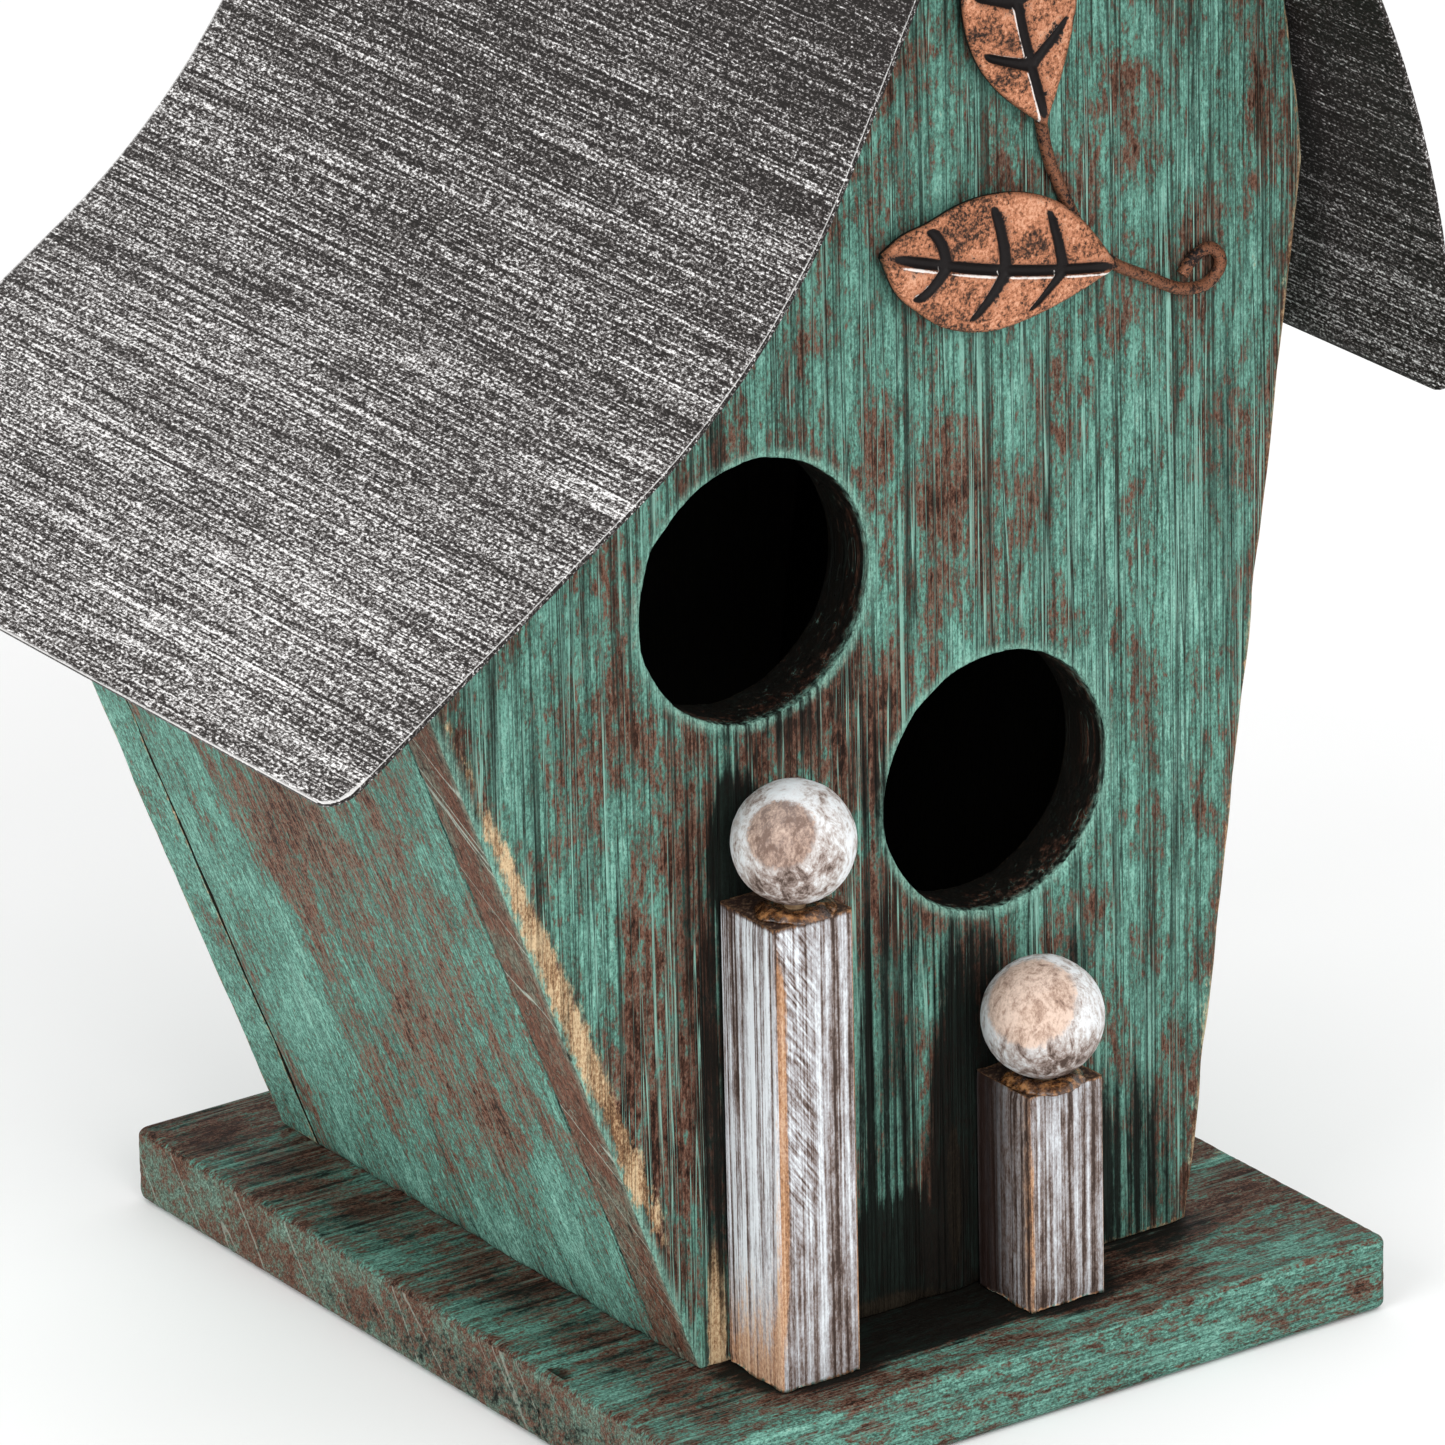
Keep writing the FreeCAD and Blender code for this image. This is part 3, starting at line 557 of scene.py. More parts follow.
def carved(node, material, along, slices, marks, seed, groove=0.14, wear=0.45,
           body="house", round_by=ARRIS_ROUND):
    """Detailed copy of a CAD node: rounded, worn arrises and grain furrows cut into its surface.

    slices lists (direction, step in millimetres); marks gives a place's fields from the place,
    the surface's normal and the distance to the nearest arris.
    """
    bm = cad_copy(node)
    arrises = sharp_edges(bm)
    arris_tree = samples(arrises)
    rims = [e for e in arrises if on_rim(e)]
    rim_tree = samples(rims) if rims else None
    if round_by:
        bmesh.ops.bevel(bm, geom=arrises, offset=round_by, offset_type="OFFSET", segments=2,
                        profile=0.5, affect="EDGES", clamp_overlap=False)
    for direction, step in slices:
        slice_along(bm, direction, step * MM)
    bm.normal_update()
    along = along.normalized()
    across = along.orthogonal().normalized()
    third = along.cross(across)
    fields = {key: [] for key in ("grain", "arris", "rim", *MARKS)}
    moved = []
    for v in bm.verts:
        place = v.co / MM
        grain = (place.dot(across), place.dot(third), place.dot(along))
        edge = distance(arris_tree, v.co)
        rim = distance(rim_tree, v.co) if rim_tree else FAR
        furrow = max(0.0, uneven(grain, 0.62, 0.012, seed + 3)) ** 1.3
        furrow += 0.55 * max(0.0, uneven(grain, 1.4, 0.02, seed + 8))
        depth = groove * (0.15 + furrow)
        if edge < CHIP_REACH:
            chip = max(0.0, uneven(grain, 0.25, 0.10, seed + 20) + 0.35) ** 2
            depth += wear * chip * fade(edge, CHIP_REACH)
        moved.append(v.co - v.normal * (depth * MM))
        values = marks(place, v.normal, edge)
        fields["grain"].append(grain)
        fields["arris"].append(values.get("arris", edge if rim > 1.0 else FAR))
        fields["rim"].append(rim)
        for key in MARKS:
            fields[key].append(values.get(key, 0.0))
    for v, co in zip(bm.verts, moved):
        v.co = co
    for face in bm.faces:
        face.smooth = True
    add_piece(node, "_detailed", bm, fields, material, body)


# ------------------------------------------------------------------ wear, stains and painted shade, in millimetres
FRONT_PAINT = (
    (-20, 104, 14, 12, -0.055), (-8, 73, 14, 9, -0.06), (34, 110, 14, 75, 0.030),
    (6, 124, 20, 12, -0.03), (-24, 162, 12, 18, 0.012), (-48, 55, 10, 38, -0.048),
    (-2, 200, 7, 34, -0.035), (24, 215, 8, 40, 0.010), (-58, 95, 12, 30, 0.012),
    (-44, 84, 6, 42, -0.050), (30, 60, 8, 30, 0.02), (-12, 40, 8, 22, 0.03),
    (-50, 100, 3, 25, -0.03),
)
# dark patches on the front board: painted shade beside the posts and balls and between the posts'
# feet, with dark stains
FRONT_DARK = (
    (-35.0, 87, 6, 14, 1.0), (-40.5, 84, 4, 22, 0.32), (-39.5, 54, 3.8, 40, 0.50),
    (-9, 16, 18, 15, 1.0), (-13, 38, 9, 42, 0.36), (3, 30, 8, 38, 1.0), (4, 58, 8, 13, 0.6),
    (-26, 105, 12, 7, 0.32), (-6, 66, 12, 10, 0.26), (21, 52, 7, 12, 0.32),
    (26, 22, 14, 20, 0.55), (-12, 92, 5, 10, 0.24),
)
FRONT_BARE = ((-40.0, 18, 2.0, 16, 0.34), (0.8, 26, 1.3, 12, 0.9), (-12, 11.5, 14, 2.0, 0.45))
LEFT_PAINT = (
    (8, 92, 42, 38, -0.032), (-15, 50, 22, 20, -0.030), (-28, 25, 14, 18, 0.040),
    (35, 60, 14, 60, 0.028), (0, 15, 50, 8, 0.035),
)
# painted shadow along the lower edge of the clean-out cover
BACK_DARK = ((-1, 22, 30, 6, 0.3),)
COVER_PAINT = ((0, 50, 18, 20, -0.02),)
BASE_PAINT = (
    (-56, -20, 5, 60, 0.04), (50, -62, 24, 12, 0.03), (-10, -69, 50, 5, 0.03),
    (22, -60, 18, 9, -0.04), (-20, -64, 20, 5, 0.03),
)
# dark patches on the base's top: painted shade around the posts' feet, along the front board's foot
# and beside the leaning left wall, with dark stain
BASE_DARK = (
    (-29, -54, 15, 12, 1.0), (11, -54, 14, 12, 1.0), (-10, -52, 24, 12, 1.2),
    (34, -50, 14, 7, 0.6), (-52, 30, 10, 60, 0.25), (-49, -20, 8, 60, 0.28),
)
BASE_RIGHT_BARE = ((55, -31, 12, 5, 0.08), (50, 30, 12, 60, 0.06))
BASE_RIGHT_PAINT = ((52, -26, 12, 9, -0.05),)
BASE_LEFT_DARK = ((-30, 4, 60, 5, 0.25),)
# the insides of the panels, painted near black: painted shade inside the house
INTERIOR = {"paint": -0.2, "dark": 2.0}
STREAK_TOP = 125              # the tan streak beside the front's left arris is thin above this
STREAK_AWAY = 2.4             # from that arris to the streak's middle
STREAK_PART = 7.0             # width of the strip that the streak runs in
RIGHT_WEAR = 3.0              # width of the worn strip along the front's right arris
JOINT = 0.4                   # width of the dark line along the joints of a side wall
TOP_WEAR = 1.5                # width of the lighter paint along the base's top arrises


def front_marks(place, normal, edge):
    """Fields on the front panel: its face, its left edge, the holes' walls and its back."""
    x, y, z = place
    if normal.y > -0.5:
        near_hole = any(math.hypot(x - hole_x, z - hole_z) < HOLE_RADIUS + 1.5
                        for hole_x, hole_z in HOLES)
        if near_hole and normal.y < 0.5:
            # the holes' walls, darker the deeper in: painted shade
            return {"paint": -0.085, "dark": 0.27 + 0.05 * (y - FRONT_Y)}
        if normal.y > 0.5:
            return INTERIOR
        if normal.x < -0.5:
            return {"paint": -0.030, "tone": 1.0, "arris": FAR}
        return {"paint": -0.02, "bare": 0.08, "arris": FAR}
    values = {
        "paint": patch_field(x, z, FRONT_PAINT),
        "dark": patch_field(x, z, FRONT_DARK),
        "bare": patch_field(x, z, FRONT_BARE),
    }
    left = x - left_wall_x(z)
    right = FOOT_RIGHT_X + RIGHT_LEAN * (z - FOOT_Z) - x
    if left < STREAK_PART:
        widening = clamp((STREAK_TOP - z) / 50)
        fading = clamp((z - 18) / 26)
        ragged = 1 + 0.45 * noise.noise(Vector((0, 0, z * 0.11)))
        reach = 1.5 + 2.3 * widening * fading * ragged
        streak = (0.20 + 0.16 * widening) * fading * fade(abs(left - STREAK_AWAY), reach)
        values["bare"] = max(values["bare"], streak)
        values["dark"] *= min(1.0, left / STREAK_PART)
    if right < RIGHT_WEAR and z < 190:
        values["bare"] = max(values["bare"], 0.13 * (1 - right / RIGHT_WEAR))
        values["paint"] -= 0.03 * (1 - right / RIGHT_WEAR)
    return values


def left_wall_marks(place, normal, edge):
    """Outside of the left wall: brown mottling in the middle, greener at its foot and rear, painted
    shade just above the base, and dark joints.
    """
    x, y, z = place
    if normal.x > 0.5:
        return INTERIOR
    return {"paint": patch_field(y, z, LEFT_PAINT),
            # painted shade just above the base, and dark joints
            "dark": max(0.25 * fade(z - FOOT_Z, 2.5), 0.6 * fade(edge, JOINT)),
            "arris": FAR}


def right_wall_marks(place, normal, edge):
    """Outside of the right wall: even paint with dark joints."""
    if normal.x < -0.5:
        return INTERIOR
    return {"paint": 0.005, "dark": 0.6 * fade(edge, JOINT), "arris": FAR}


def back_marks(place, normal, edge):
    """Outside of the back panel: greener on its left edge, darker below the clean-out cover, a
    painted shadow of it.
    """
    x, y, z = place
    if normal.y < -0.5:
        return INTERIOR
    return {"paint": 0.03 if normal.x < -0.5 else 0.0,
            "dark": patch_field(x, z, BACK_DARK) if normal.y > 0.5 else 0.0}


def cover_marks(place, normal, edge):
    """Fields on the clean-out cover, a little browner in the middle."""
    x, y, z = place
    return {"paint": patch_field(x, z, COVER_PAINT) + 0.01}


def base_marks(place, normal, edge):
    """Fields on the base planks: brown behind the house, dark around the posts' feet, along the
    front board and beside the left wall: painted shade, with dark stain.
    """
    x, y, z = place
    values = {"paint": 0.0, "dark": 0.0, "arris": FAR}
    if normal.z > 0.5:
        values["paint"] = -0.034 + patch_field(x, y, BASE_PAINT)
        values["dark"] = patch_field(x, y, BASE_DARK)
        if x > 41:
            values["bare"] = patch_field(x, y, BASE_RIGHT_BARE)
            values["paint"] += patch_field(x, y, BASE_RIGHT_PAINT)
    elif normal.x < -0.5:
        values["paint"] = -0.012
        values["tone"] = 0.5
        values["dark"] = patch_field(y, z, BASE_LEFT_DARK)
    elif normal.y < -0.5:
        values["paint"] = 0.015
    if z > FOOT_Z - TOP_WEAR:
        values["paint"] += 0.07 * fade(edge, TOP_WEAR)
        values["dark"] *= min(1.0, edge / TOP_WEAR)
    return values


def post_marks(centre_x, top):
    """Fields on a post: orange bare wood low on its left, dark toward its back and its top. The
    dark is painted shade toward the board, under the ball and on the right face, with some dark
    stain.
    """
    tall = top == TALL_TOP

    def left_face(back, up):
        if tall:
            # darker toward the board and under the ball: painted shade, with dark stain
            return {"paint": 0.012, "tone": -0.38,
                    "dark": max(0.0, back - 0.72) + max(0.0, up - 0.95) * 6,
                    "bare": 0.30 * max(0.0, 1 - up * 2.8) + 0.25 * max(0.0, 0.2 - back) * 3,
                    "green": 0.22 * fade(abs(back - 0.86), 0.14)}
        # darker toward the board: painted shade, with dark stain
        return {"paint": -0.045, "dark": 0.20 + 0.9 * max(0.0, back - 0.3),
                "bare": 0.30 * max(0.0, 0.35 - back) * 2.5}

    def front_face(side, up):
        values = {"paint": -0.020 - 0.02 * max(0.0, 0.4 - up) + 0.01 * side,
                  # darker just under the ball: painted shade
                  "dark": max(0.0, up - 0.95) * 4}
        if tall:
            ends = min(1.0, (1 - up) * 6) * min(1.0, up * 3)
            values["bare"] = 0.8 * fade(side + 1, 0.34) * ends
            values["tone"] = 0.36 * clamp((0.25 - side) * 2) * clamp((up - 0.25) * 5)
        else:
            values["bare"] = 0.42 * fade(side + 1, 0.20) * min(1.0, (1 - up) * 3)
            values["paint"] -= 0.020
            values["green"] = 0.34 * max(0.0, 1 - up * 4) * max(0.0, -side)
        values["bare"] = max(values["bare"], 0.40 * fade(1 - side, 0.10))
        return values

    def marks(place, normal, edge):
        x, y, z = place
        back = (y - (FRONT_Y - POST_DEPTH)) / POST_DEPTH
        up = (z - FOOT_Z) / (top - FOOT_Z)
        if normal.z > 0.5:
            # the top, under the ball: painted shade, with stain
            return {"paint": -0.12, "dark": 0.42, "bare": 0.15}
        values = {}
        if normal.x < -0.5:
            values = left_face(back, up)
        elif normal.y < -0.5:
            values = front_face((x - centre_x) / POST_HALF_WIDTH, up)
        elif normal.x > 0.5:
            # the right face, turned from the lights: painted shade, darker toward the board
            values = {"dark": 0.35 + 0.4 * back}
        values["green"] = max(values.get("green", 0.0), 0.32 * fade(z - FOOT_Z, 3.5))
        return values
    return marks


def roof_marks(place, normal, edge):
    """How light the roof is painted: a painted sheen, strong at the eaves and weak at the ridge;
    faint dry-brushing with painted shade underneath, lifted toward the right sheet's eave where the
    board shades it less.
    """
    x, y, z = place
    if abs(normal.y) > 0.7 or (edge < 0.8 and normal.z < 0.2):
        return {"tone": -0.05, "arris": FAR}
    if normal.z < 0 and edge > 0.3:
        # underside: painted shade, painted lighter toward the right sheet's eave where the board
        # shades it less
        near_eave = clamp((172 - z) / 36) if x > 30 else 0.0
        return {"tone": -0.070 + 0.055 * near_eave}
    # top: lighter toward the eaves, a painted sheen
    return {"tone": -0.062 + 0.069 * clamp((215 - z) / 90) ** 0.7}


X_AXIS, Y_AXIS, Z_AXIS = Vector((1, 0, 0)), Vector((0, 1, 0)), Vector((0, 0, 1))
LEFT_UP = Vector((-LEFT_LEAN, 0, 1))
RIGHT_UP = Vector((RIGHT_LEAN, 0, 1))

front_paint = painted_wood("paint_front_board", shift=0.0, lines=1.0, scuffed=1.0, bright=1.05,
                           wood=1.12)
side_paint = painted_wood("paint_side_boards", shift=140.0, lines=0.30, scuffed=0.95, bright=1.25,
                          wood=1.50)
base_paint = painted_wood("paint_base_planks", shift=260.0, lines=0.35, scuffed=1.2, bright=1.05,
                          wood=1.0)
post_wash = whitewash("whitewash_posts", 20.0, streaky=True)
ball_wash = whitewash("whitewash_balls", 90.0, streaky=False)
roof_paint = roof_metal()
copper_paint = copper("copper_leaves", 0.0)
wire_paint = copper("copper_wire", 0.29)
glue_paint = dried_glue()
pine = bare_wood()
zinc = dull_zinc()


def build_wood():
    carved("front_panel", front_paint, Z_AXIS,
           ((Y_AXIS, 2.0), (Z_AXIS, 2.5), (X_AXIS, 0.55)), front_marks, 1.0, groove=0.17)
    carved("back_panel", side_paint, Z_AXIS,
           ((Y_AXIS, 2.0), (Z_AXIS, 4.0), (X_AXIS, 0.9)), back_marks, 31.0)
    carved("left_side_panel", side_paint, LEFT_UP,
           ((Z_AXIS, 3.0), (Y_AXIS, 0.6)), left_wall_marks, 61.0)
    carved("right_side_panel", side_paint, RIGHT_UP,
           ((Z_AXIS, 3.5), (Y_AXIS, 0.8)), right_wall_marks, 91.0)
    for node, seed in (("base_front_plank", 121.0), ("base_rear_plank", 151.0)):
        carved(node, base_paint, X_AXIS,
               ((X_AXIS, 2.6), (Y_AXIS, 0.6), (Z_AXIS, 0.6)), base_marks, seed, groove=0.16)
    for node, x, top, seed in (("tall_post", TALL_X, TALL_TOP, 181.0),
                               ("short_post", SHORT_X, SHORT_TOP, 211.0)):
        carved(node, post_wash, Z_AXIS,
               ((Z_AXIS, 1.2), (X_AXIS, 0.28), (Y_AXIS, 0.28)), post_marks(x, top), seed,
               groove=0.2, wear=0.5, round_by=0)
    carved("cleanout_cover", side_paint, Z_AXIS,
           ((Y_AXIS, 1.0), (Z_AXIS, 2.0), (X_AXIS, 0.6)), cover_marks, 241.0,
           groove=0.12, wear=0.3, body="cleanout_door")


def build_roof():
    for node, step, seed in (("left_roof_sheet", 3.0, 271.0), ("right_roof_sheet", 3.0, 301.0),
                             ("ridge_cap", 2.0, 331.0)):
        carved(node, roof_paint, Y_AXIS, ((Y_AXIS, 3.0), (Z_AXIS, step)),
               roof_marks, seed, groove=0.03, wear=0.0, round_by=SHEET_ROUND)


# ------------------------------------------------------------------ balls
def ball(node, centre, seed, marks):
    """Turned wooden ball, slightly uneven, just inside its true sphere."""
    bm = bmesh.new()
    bmesh.ops.create_icosphere(bm, subdivisions=6, radius=1.0)
    middle = Vector(centre)
    fields = {key: [] for key in ("grain", "arris", *MARKS)}
    for v in bm.verts:
        direction = v.co.normalized()
        dent = 0.10 + 0.10 * noise.noise(direction * 1.8 + Vector((seed, 0, 0)))
        dent += 0.05 * noise.noise(direction * 7 + Vector((0, seed, 0)))
        place = middle + direction * (BALL_RADIUS - max(0.0, dent))
        v.co = place * MM
        values = marks(direction)
        fields["grain"].append(tuple(place))
        fields["arris"].append(FAR)
        for key in MARKS:
            fields[key].append(values.get(key, 0.0))
    for face in bm.faces:
        face.smooth = True
    add_piece(node, "_detailed", bm, fields, ball_wash)


def cap(direction, middle, size, soft):
    """1 inside a round cap about a direction, falling to 0 over the soft part; both in degrees."""
    away = math.degrees(direction.angle(Vector(middle)))
    return clamp((size + soft - away) / soft)


def tall_ball_marks(direction):
    """Brown patch left of the middle, a grey-brown lower left and a dark foot, which is painted
    shade.
    """
    # painted shade on the underside, above the post
    low = max(0.0, -direction.z - 0.55)
    patch = cap(direction, (-0.66, -0.57, 0.49), 27, 14)
    grey = cap(direction, (-0.55, -0.25, -0.80), 30, 30)
    return {"paint": 0.014 - 0.075 * grey, "bare": 0.36 * patch, "tone": -0.055, "dark": low * 0.9}


def short_ball_marks(direction):
    """Peach patch on the upper left, a grey-brown lower right, and a foot darkened with painted
    shade.
    """
    # painted shade on the underside, above the post
    low = max(0.0, -direction.z - 0.45)
    patch = cap(direction, (-0.62, -0.44, 0.65), 34, 22)
    grey = cap(direction, (-0.10, -0.75, -0.65), 22, 26)
    return {"paint": 0.004 - 0.050 * grey, "dark": low * 0.8, "bare": 0.46 * patch, "tone": 0.045}


# ------------------------------------------------------------------ leaves
# a leaf's half width, in millimetres, at shares of its length from the stem
UPPER_SIDE = ((0, 0), (0.1, 3.6), (0.2, 6.6), (0.32, 8.9), (0.46, 9.8), (0.6, 9.2), (0.72, 7.5),
              (0.83, 4.9), (0.93, 2.9), (1, 0.3))
LOWER_SIDE = ((0, 0), (0.1, 2.9), (0.2, 5.4), (0.32, 7.8), (0.45, 9.7), (0.56, 10.2), (0.68, 9.7),
              (0.8, 7.7), (0.91, 5.0), (1, 0.3))
VEIN_STARTS = (0.24, 0.48, 0.73)
VEIN_RUN = 0.12               # how far a side vein runs forward on its way to the edge
VEIN_WIDTH, MIDRIB_WIDTH = 1.05, 0.72
# how far the dark beside the veins reaches: black patina and painted shade
VEIN_DARK_REACH, MIDRIB_DARK_REACH = 2.3, 1.9
# the lip beside a vein is raised and carries a painted highlight
LIP_AWAY, LIP_WIDTH = 1.05, 0.30       # the bright lip beside a vein
EDGE_ROLL = 0.7
LEAF_ROWS, LEAF_COLUMNS = 150, 90


def spread(points, u):
    """Smooth curve through some (u, value) points."""
    for i in range(len(points) - 1):
        if u <= points[i + 1][0]:
            break
    a = points[max(i - 1, 0)]
    b, c = points[i], points[i + 1]
    d = points[min(i + 2, len(points) - 1)]
    t = (u - b[0]) / (c[0] - b[0])
    span = c[0] - b[0]
    slope_b = (c[1] - a[1]) / (c[0] - a[0]) * span
    slope_c = (d[1] - b[1]) / (d[0] - b[0]) * span
    return (b[1] * (2 * t ** 3 - 3 * t * t + 1) + slope_b * (t ** 3 - 2 * t * t + t)
            + c[1] * (3 * t * t - 2 * t ** 3) + slope_c * (t ** 3 - t * t))


def leaf_relief(u, v, half):
    """Height, hollow and lip, each from 0 to 1, at a place on a leaf; v runs from -1 to 1. The
    hollow also holds the dark beside the veins and at the edge, black patina and painted shade; the
    lip is raised and carries a painted highlight.
    """
    across = v * half
    dome = 1 - 0.55 * abs(v) ** 2.4
    hollow = bell(across, MIDRIB_WIDTH, 3) * min(1.0, (1 - u) * 7) * min(1.0, u * 9)
    raised_lip_highlight = bell(across - LIP_AWAY, LIP_WIDTH)
    # dark beside the midrib and veins, and at the rolled edge: black patina and painted shade
    patina_and_shade = bell(across, MIDRIB_DARK_REACH)
    side_fade = clamp((0.88 - abs(v)) * 6)
    for start in VEIN_STARTS:
        away = (u - start - VEIN_RUN * abs(v) ** 1.3) * LEAF_LENGTH
        vein = side_fade * bell(away, VEIN_WIDTH * (1 - 0.35 * abs(v)), 3)
        hollow = max(hollow, vein)
        patina_and_shade = max(patina_and_shade, side_fade * bell(away, VEIN_DARK_REACH))
        lip_highlight = side_fade * bell(away - LIP_AWAY, LIP_WIDTH)
        raised_lip_highlight = max(raised_lip_highlight * (1 - vein), (0.75 if v > 0 else 0.55) * lip_highlight)
    edge = (1 - abs(v)) * half
    fall = fade(edge, EDGE_ROLL) ** 2
    height = 0.78 * dome + 0.12 * raised_lip_highlight - 0.62 * hollow - 0.20 * fall + 0.12
    patina_and_shade = max(patina_and_shade, 0.9 * bell(edge, EDGE_ROLL))
    return min(1.0, max(0.05, height)), max(hollow, 0.27 * patina_and_shade), raised_lip_highlight * min(1.0, (1 - u) * 9)


def leaf(node, place, sides):
    """Pressed leaf: domed between its veins, with a rolled edge."""
    base_x, base_z, angle = place
    along = Vector((math.cos(math.radians(angle)), 0, math.sin(math.radians(angle))))
    side = Vector((-along.z, 0, along.x))
    origin = Vector((base_x, 0, base_z))
    bm = bmesh.new()
    front, outline, hollows, raised_lip_highlights = [], [], [], []
    for i in range(LEAF_ROWS + 1):
        u = i / LEAF_ROWS
        low_half = max(0.15, spread(sides[0], u))
        high_half = max(0.15, spread(sides[1], u))
        bend = 1.2 * math.sin(math.pi * u)
        front.append([])
        outline.append([])
        for j in range(LEAF_COLUMNS + 1):
            v = 2 * j / LEAF_COLUMNS - 1
            half = high_half if v > 0 else low_half
            middle = bend * (1 - abs(v))
            spot = origin + along * (u * LEAF_LENGTH * 0.995 + 0.1) + side * (v * half + middle)
            height, hollow, raised_lip_highlight = leaf_relief(u, v, half)
            ripple = 0.05 * noise.noise(spot * 0.5)
            depth = min(1.0, height + ripple) * (LEAF_THICK - 0.25) + 0.2
            vertex = bm.verts.new(Vector((spot.x, LEAF_BACK_Y - depth, spot.z)) * MM)
            front[i].append(vertex)
            outline[i].append((spot.x, spot.z))
            hollows.append(hollow)
            raised_lip_highlights.append(raised_lip_highlight)
    back = [[bm.verts.new(Vector((x, LEAF_BACK_Y, z)) * MM) for x, z in row] for row in outline]
    on_back = (LEAF_ROWS + 1) * (LEAF_COLUMNS + 1)
    hollows += [0.6] * on_back
    raised_lip_highlights += [0.0] * on_back
    for i in range(LEAF_ROWS):
        for j in range(LEAF_COLUMNS):
            bm.faces.new((front[i][j], front[i][j + 1], front[i + 1][j + 1], front[i + 1][j]))
            bm.faces.new((back[i][j], back[i + 1][j], back[i + 1][j + 1], back[i][j + 1]))
    for j in (0, LEAF_COLUMNS):
        for i in range(LEAF_ROWS):
            bm.faces.new((front[i][j], front[i + 1][j], back[i + 1][j], back[i][j]))
    for i in (0, LEAF_ROWS):
        for j in range(LEAF_COLUMNS):
            bm.faces.new((front[i][j], front[i][j + 1], back[i][j + 1], back[i][j]))
    bmesh.ops.recalc_face_normals(bm, faces=bm.faces)
    for face in bm.faces:
        face.smooth = True
    add_piece(node, "_embossed", bm, {"hollow": hollows, "raised_lip_highlight": raised_lip_highlights}, copper_paint)


# ------------------------------------------------------------------ glue
RING_TURNS, RING_STEPS = 96, 14
RING_INSIDE = 3.0             # radius at which the ring meets the dowel


def glue_ring(node, ball_centre, top, reach, seed):
    """Squeezed-out glue between a ball and the top of its post, with an uneven outline."""
    bm = bmesh.new()
    rings = []
    middle = Vector((ball_centre[0], ball_centre[1], 0))
    lift = ball_centre[2] - BALL_RADIUS - top
    for i in range(RING_TURNS):
        angle = 2 * math.pi * i / RING_TURNS
        heading = Vector((math.cos(angle), math.sin(angle), 0))
        outer = reach * (1 + 0.16 * noise.noise(heading * 1.4 + Vector((seed, 0, 0)))
                         + 0.07 * noise.noise(heading * 5 + Vector((seed, 0, 0))))
        ring = []
        for j in range(RING_STEPS + 1):
            t = j / RING_STEPS
            radius = outer * (1 - t) + RING_INSIDE * t
            under_ball = ball_centre[2] - math.sqrt(max(0.0, BALL_RADIUS ** 2 - radius ** 2))
            lumps = 1 + 0.25 * noise.noise(heading * 3 + Vector((t * 2, seed, 0)))
            rise = (0.12 + 1.05 * math.sin(min(1.0, t * 1.7) * math.pi / 2)) * lumps
            height = min(top + rise, max(under_ball + 0.1, top + 0.05))
            if j == 0:
                height = top + 0.02
            elif j == RING_STEPS:
                height = top + lift * 0.5
            place = middle + heading * radius + Vector((0, 0, height))
            ring.append(bm.verts.new(place * MM))
        rings.append(ring)
    for i in range(RING_TURNS):
        following = rings[(i + 1) % RING_TURNS]
        for j in range(RING_STEPS):
            bm.faces.new((rings[i][j], following[j], following[j + 1], rings[i][j + 1]))
    bm.faces.new([ring[-1] for ring in rings])
    bm.faces.new([ring[0] for ring in reversed(rings)])
    bmesh.ops.recalc_face_normals(bm, faces=bm.faces)
    for face in bm.faces:
        face.smooth = len(face.verts) == 4
    add_piece(node, "_ring", bm, {}, glue_paint)


# ------------------------------------------------------------------ pieces that keep their CAD mesh
KEPT = (
    (zinc, ("base_screws", "post_screws", "front_panel_brads", "back_panel_brads", "hanging_eye",
            "cover_pivot_screw", "cover_keeper_screw", "ornament_pins", "ridge_cap_nails")),
    (pine, ("ridge_beam", "ball_dowels")),
    (wire_paint, ("vine_wire",)),
)


def dress(nodes, material):
    """Give CAD nodes a material; their meshes stay as they are."""
    for node in nodes:
        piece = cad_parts[node]
        piece.data.materials.clear()
        piece.data.materials.append(material)


# ------------------------------------------------------------------ studio
CAMERA_ANGLES = (-34.251, 21.792, -1.270)        # yaw, pitch and roll in degrees
CAMERA_PLACE = (-0.9033, -1.3214, 0.7226)
CAMERA_LENS, CAMERA_SENSOR = 301.628, 36         # millimetres
LIGHTS = (                    # name, azimuth, elevation, distance, size, watts
    ("key", -12, 30, 1.7, 1.0, 14),
    ("left_fill", -75, 25, 1.6, 0.9, 9),
)
HOUSE_MIDDLE = (0, 0, 0.14)
WORLD_STRENGTH = 0.95
FLOOR_RADIUS = 6.0
FLOOR_DROP = 0.0002           # the floor lies this far under the base


def heading_to(azimuth, elevation):
    """Direction from the house at angles in radians; azimuth 0 is toward the front."""
    return Vector((math.sin(azimuth) * math.cos(elevation),
                   -math.cos(azimuth) * math.cos(elevation), math.sin(elevation)))


def camera():
    """Camera at the photograph's angle: left of the front, a little above."""
    yaw, pitch, roll = (math.radians(angle) for angle in CAMERA_ANGLES)
    back = heading_to(yaw, pitch)
    level = Vector((math.cos(yaw), math.sin(yaw), 0))
    up = back.cross(level)
    right = level * math.cos(roll) + up * math.sin(roll)
    top = up * math.cos(roll) - level * math.sin(roll)
    data = bpy.data.cameras.new("photo_view")
    data.lens = CAMERA_LENS
    data.sensor_width = CAMERA_SENSOR
    view = bpy.data.objects.new("photo_view", data)
    bpy.context.scene.collection.objects.link(view)
    pose = Matrix((right, top, back)).transposed().to_4x4()
    pose.translation = Vector(CAMERA_PLACE)
    view.matrix_world = pose
    bpy.context.scene.camera = view


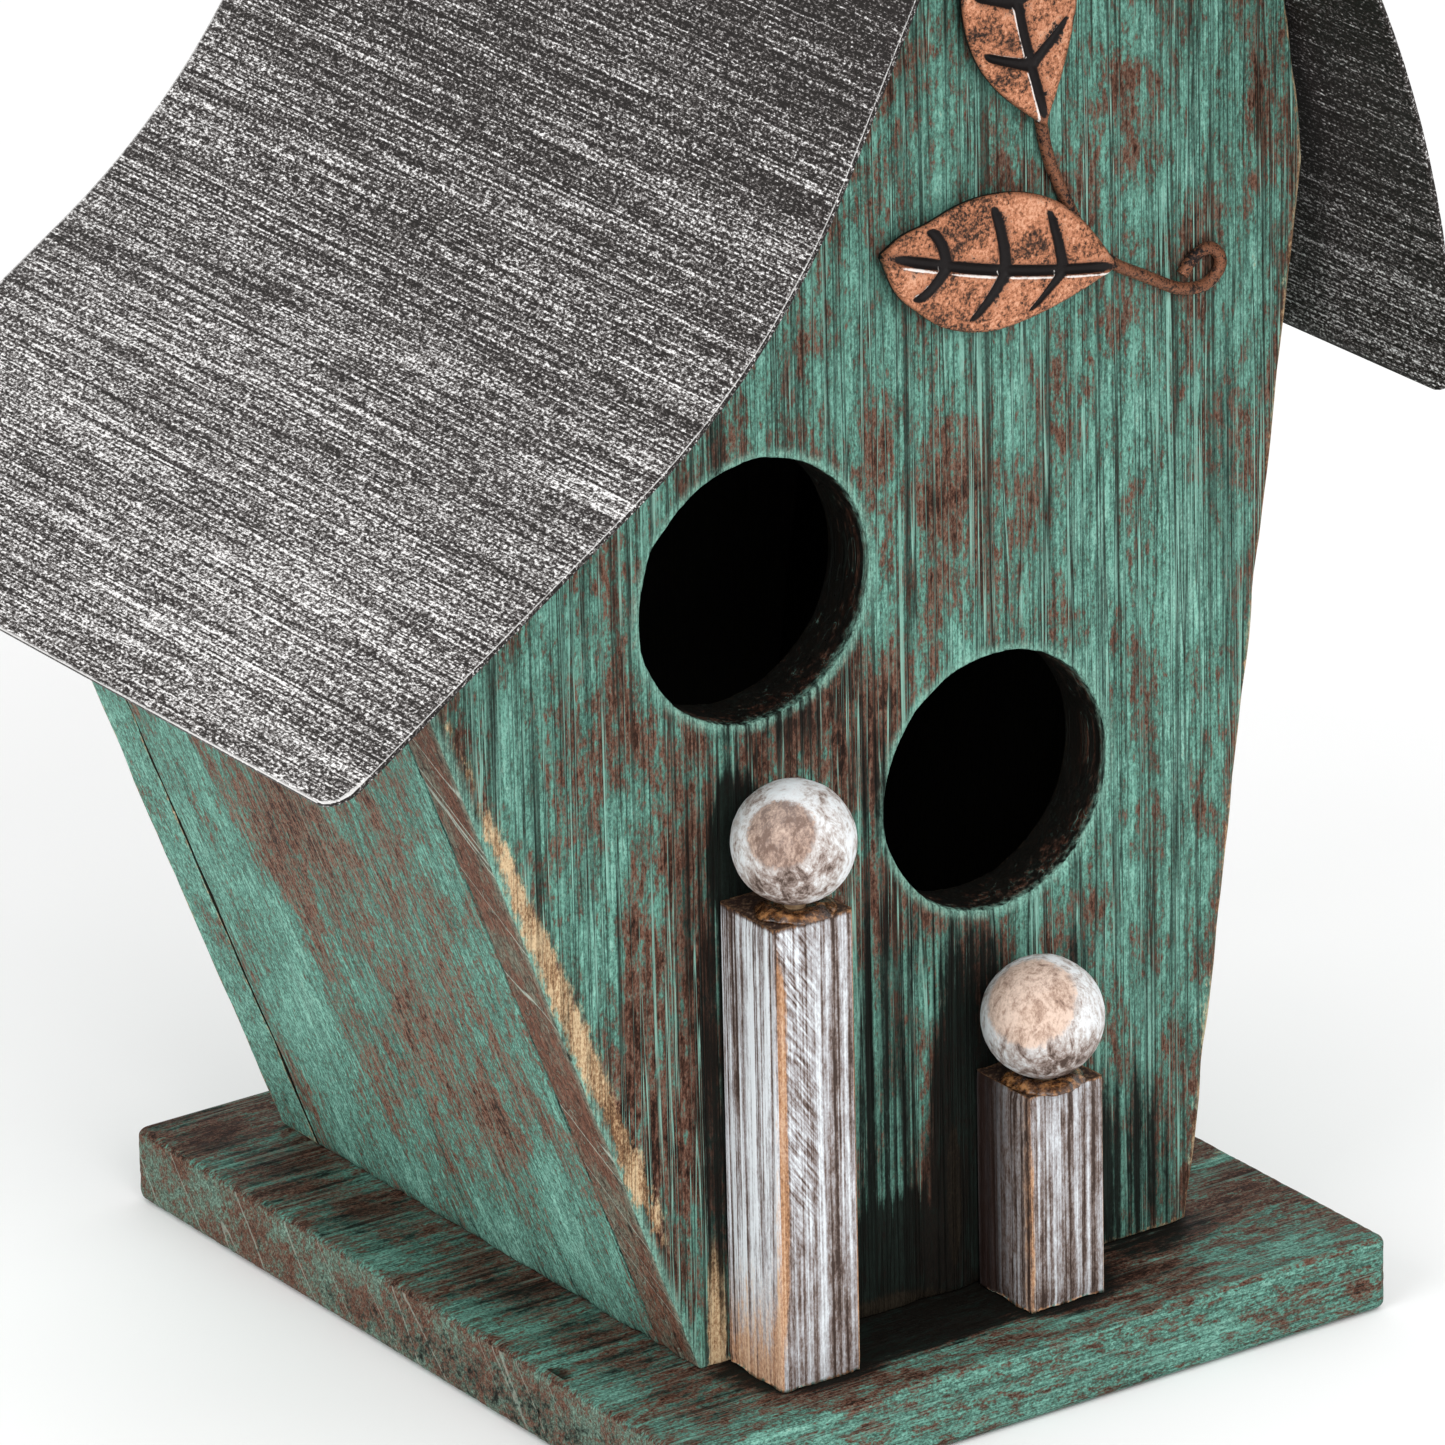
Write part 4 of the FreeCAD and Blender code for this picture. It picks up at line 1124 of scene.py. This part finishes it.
def area_light(name, azimuth, elevation, away, size, power):
    """Square soft light aimed at the middle of the house."""
    heading = heading_to(math.radians(azimuth), math.radians(elevation))
    data = bpy.data.lights.new(name, "AREA")
    data.size = size
    data.energy = power
    lamp = bpy.data.objects.new(name, data)
    bpy.context.scene.collection.objects.link(lamp)
    lamp.location = Vector(HOUSE_MIDDLE) + heading * away
    lamp.rotation_mode = "QUATERNION"
    lamp.rotation_quaternion = (-heading).to_track_quat("-Z", "Y")


def floor():
    """White floor, which is stage and not part of the object."""
    bm = bmesh.new()
    bmesh.ops.create_circle(bm, cap_ends=True, segments=96, radius=FLOOR_RADIUS)
    mesh = bpy.data.meshes.new("floor")
    bm.to_mesh(mesh)
    bm.free()
    net = Net("floor_white")
    speck = net.noise(net.object_mm(), 0.01, 2, 0.5)
    colour = net.ramp(speck, (0.3, (0.90, 0.90, 0.90)), (0.7, (0.92, 0.92, 0.92)))
    net.finish(colour, 0.8, Specular_IOR_Level=0.1)
    piece = bpy.data.objects.new("floor", mesh)
    mesh.materials.append(net.material)
    piece.location.z = -FLOOR_DROP
    bpy.context.scene.collection.objects.link(piece)


def studio():
    """White world, two soft lights and the floor."""
    scene = bpy.context.scene
    world = bpy.data.worlds.new("studio")
    world.use_nodes = True
    background = world.node_tree.nodes["Background"]
    background.inputs["Color"].default_value = (1, 1, 1, 1)
    background.inputs["Strength"].default_value = WORLD_STRENGTH
    scene.world = world
    scene.view_settings.view_transform = "Standard"
    for light in LIGHTS:
        area_light(*light)
    floor()


build_wood()
build_roof()
ball("tall_post_ball", TALL_BALL, 5.0, tall_ball_marks)
ball("short_post_ball", SHORT_BALL, 9.0, short_ball_marks)
leaf("lower_leaf", LOWER_LEAF, (UPPER_SIDE, LOWER_SIDE))
leaf("upper_leaf", UPPER_LEAF, (LOWER_SIDE, UPPER_SIDE))
glue_ring("tall_post_glue_bead", TALL_BALL, TALL_TOP, 5.6, 2.0)
glue_ring("short_post_glue_bead", SHORT_BALL, SHORT_TOP, 5.9, 6.0)
for material, nodes in KEPT:
    dress(nodes, material)
camera()
studio()
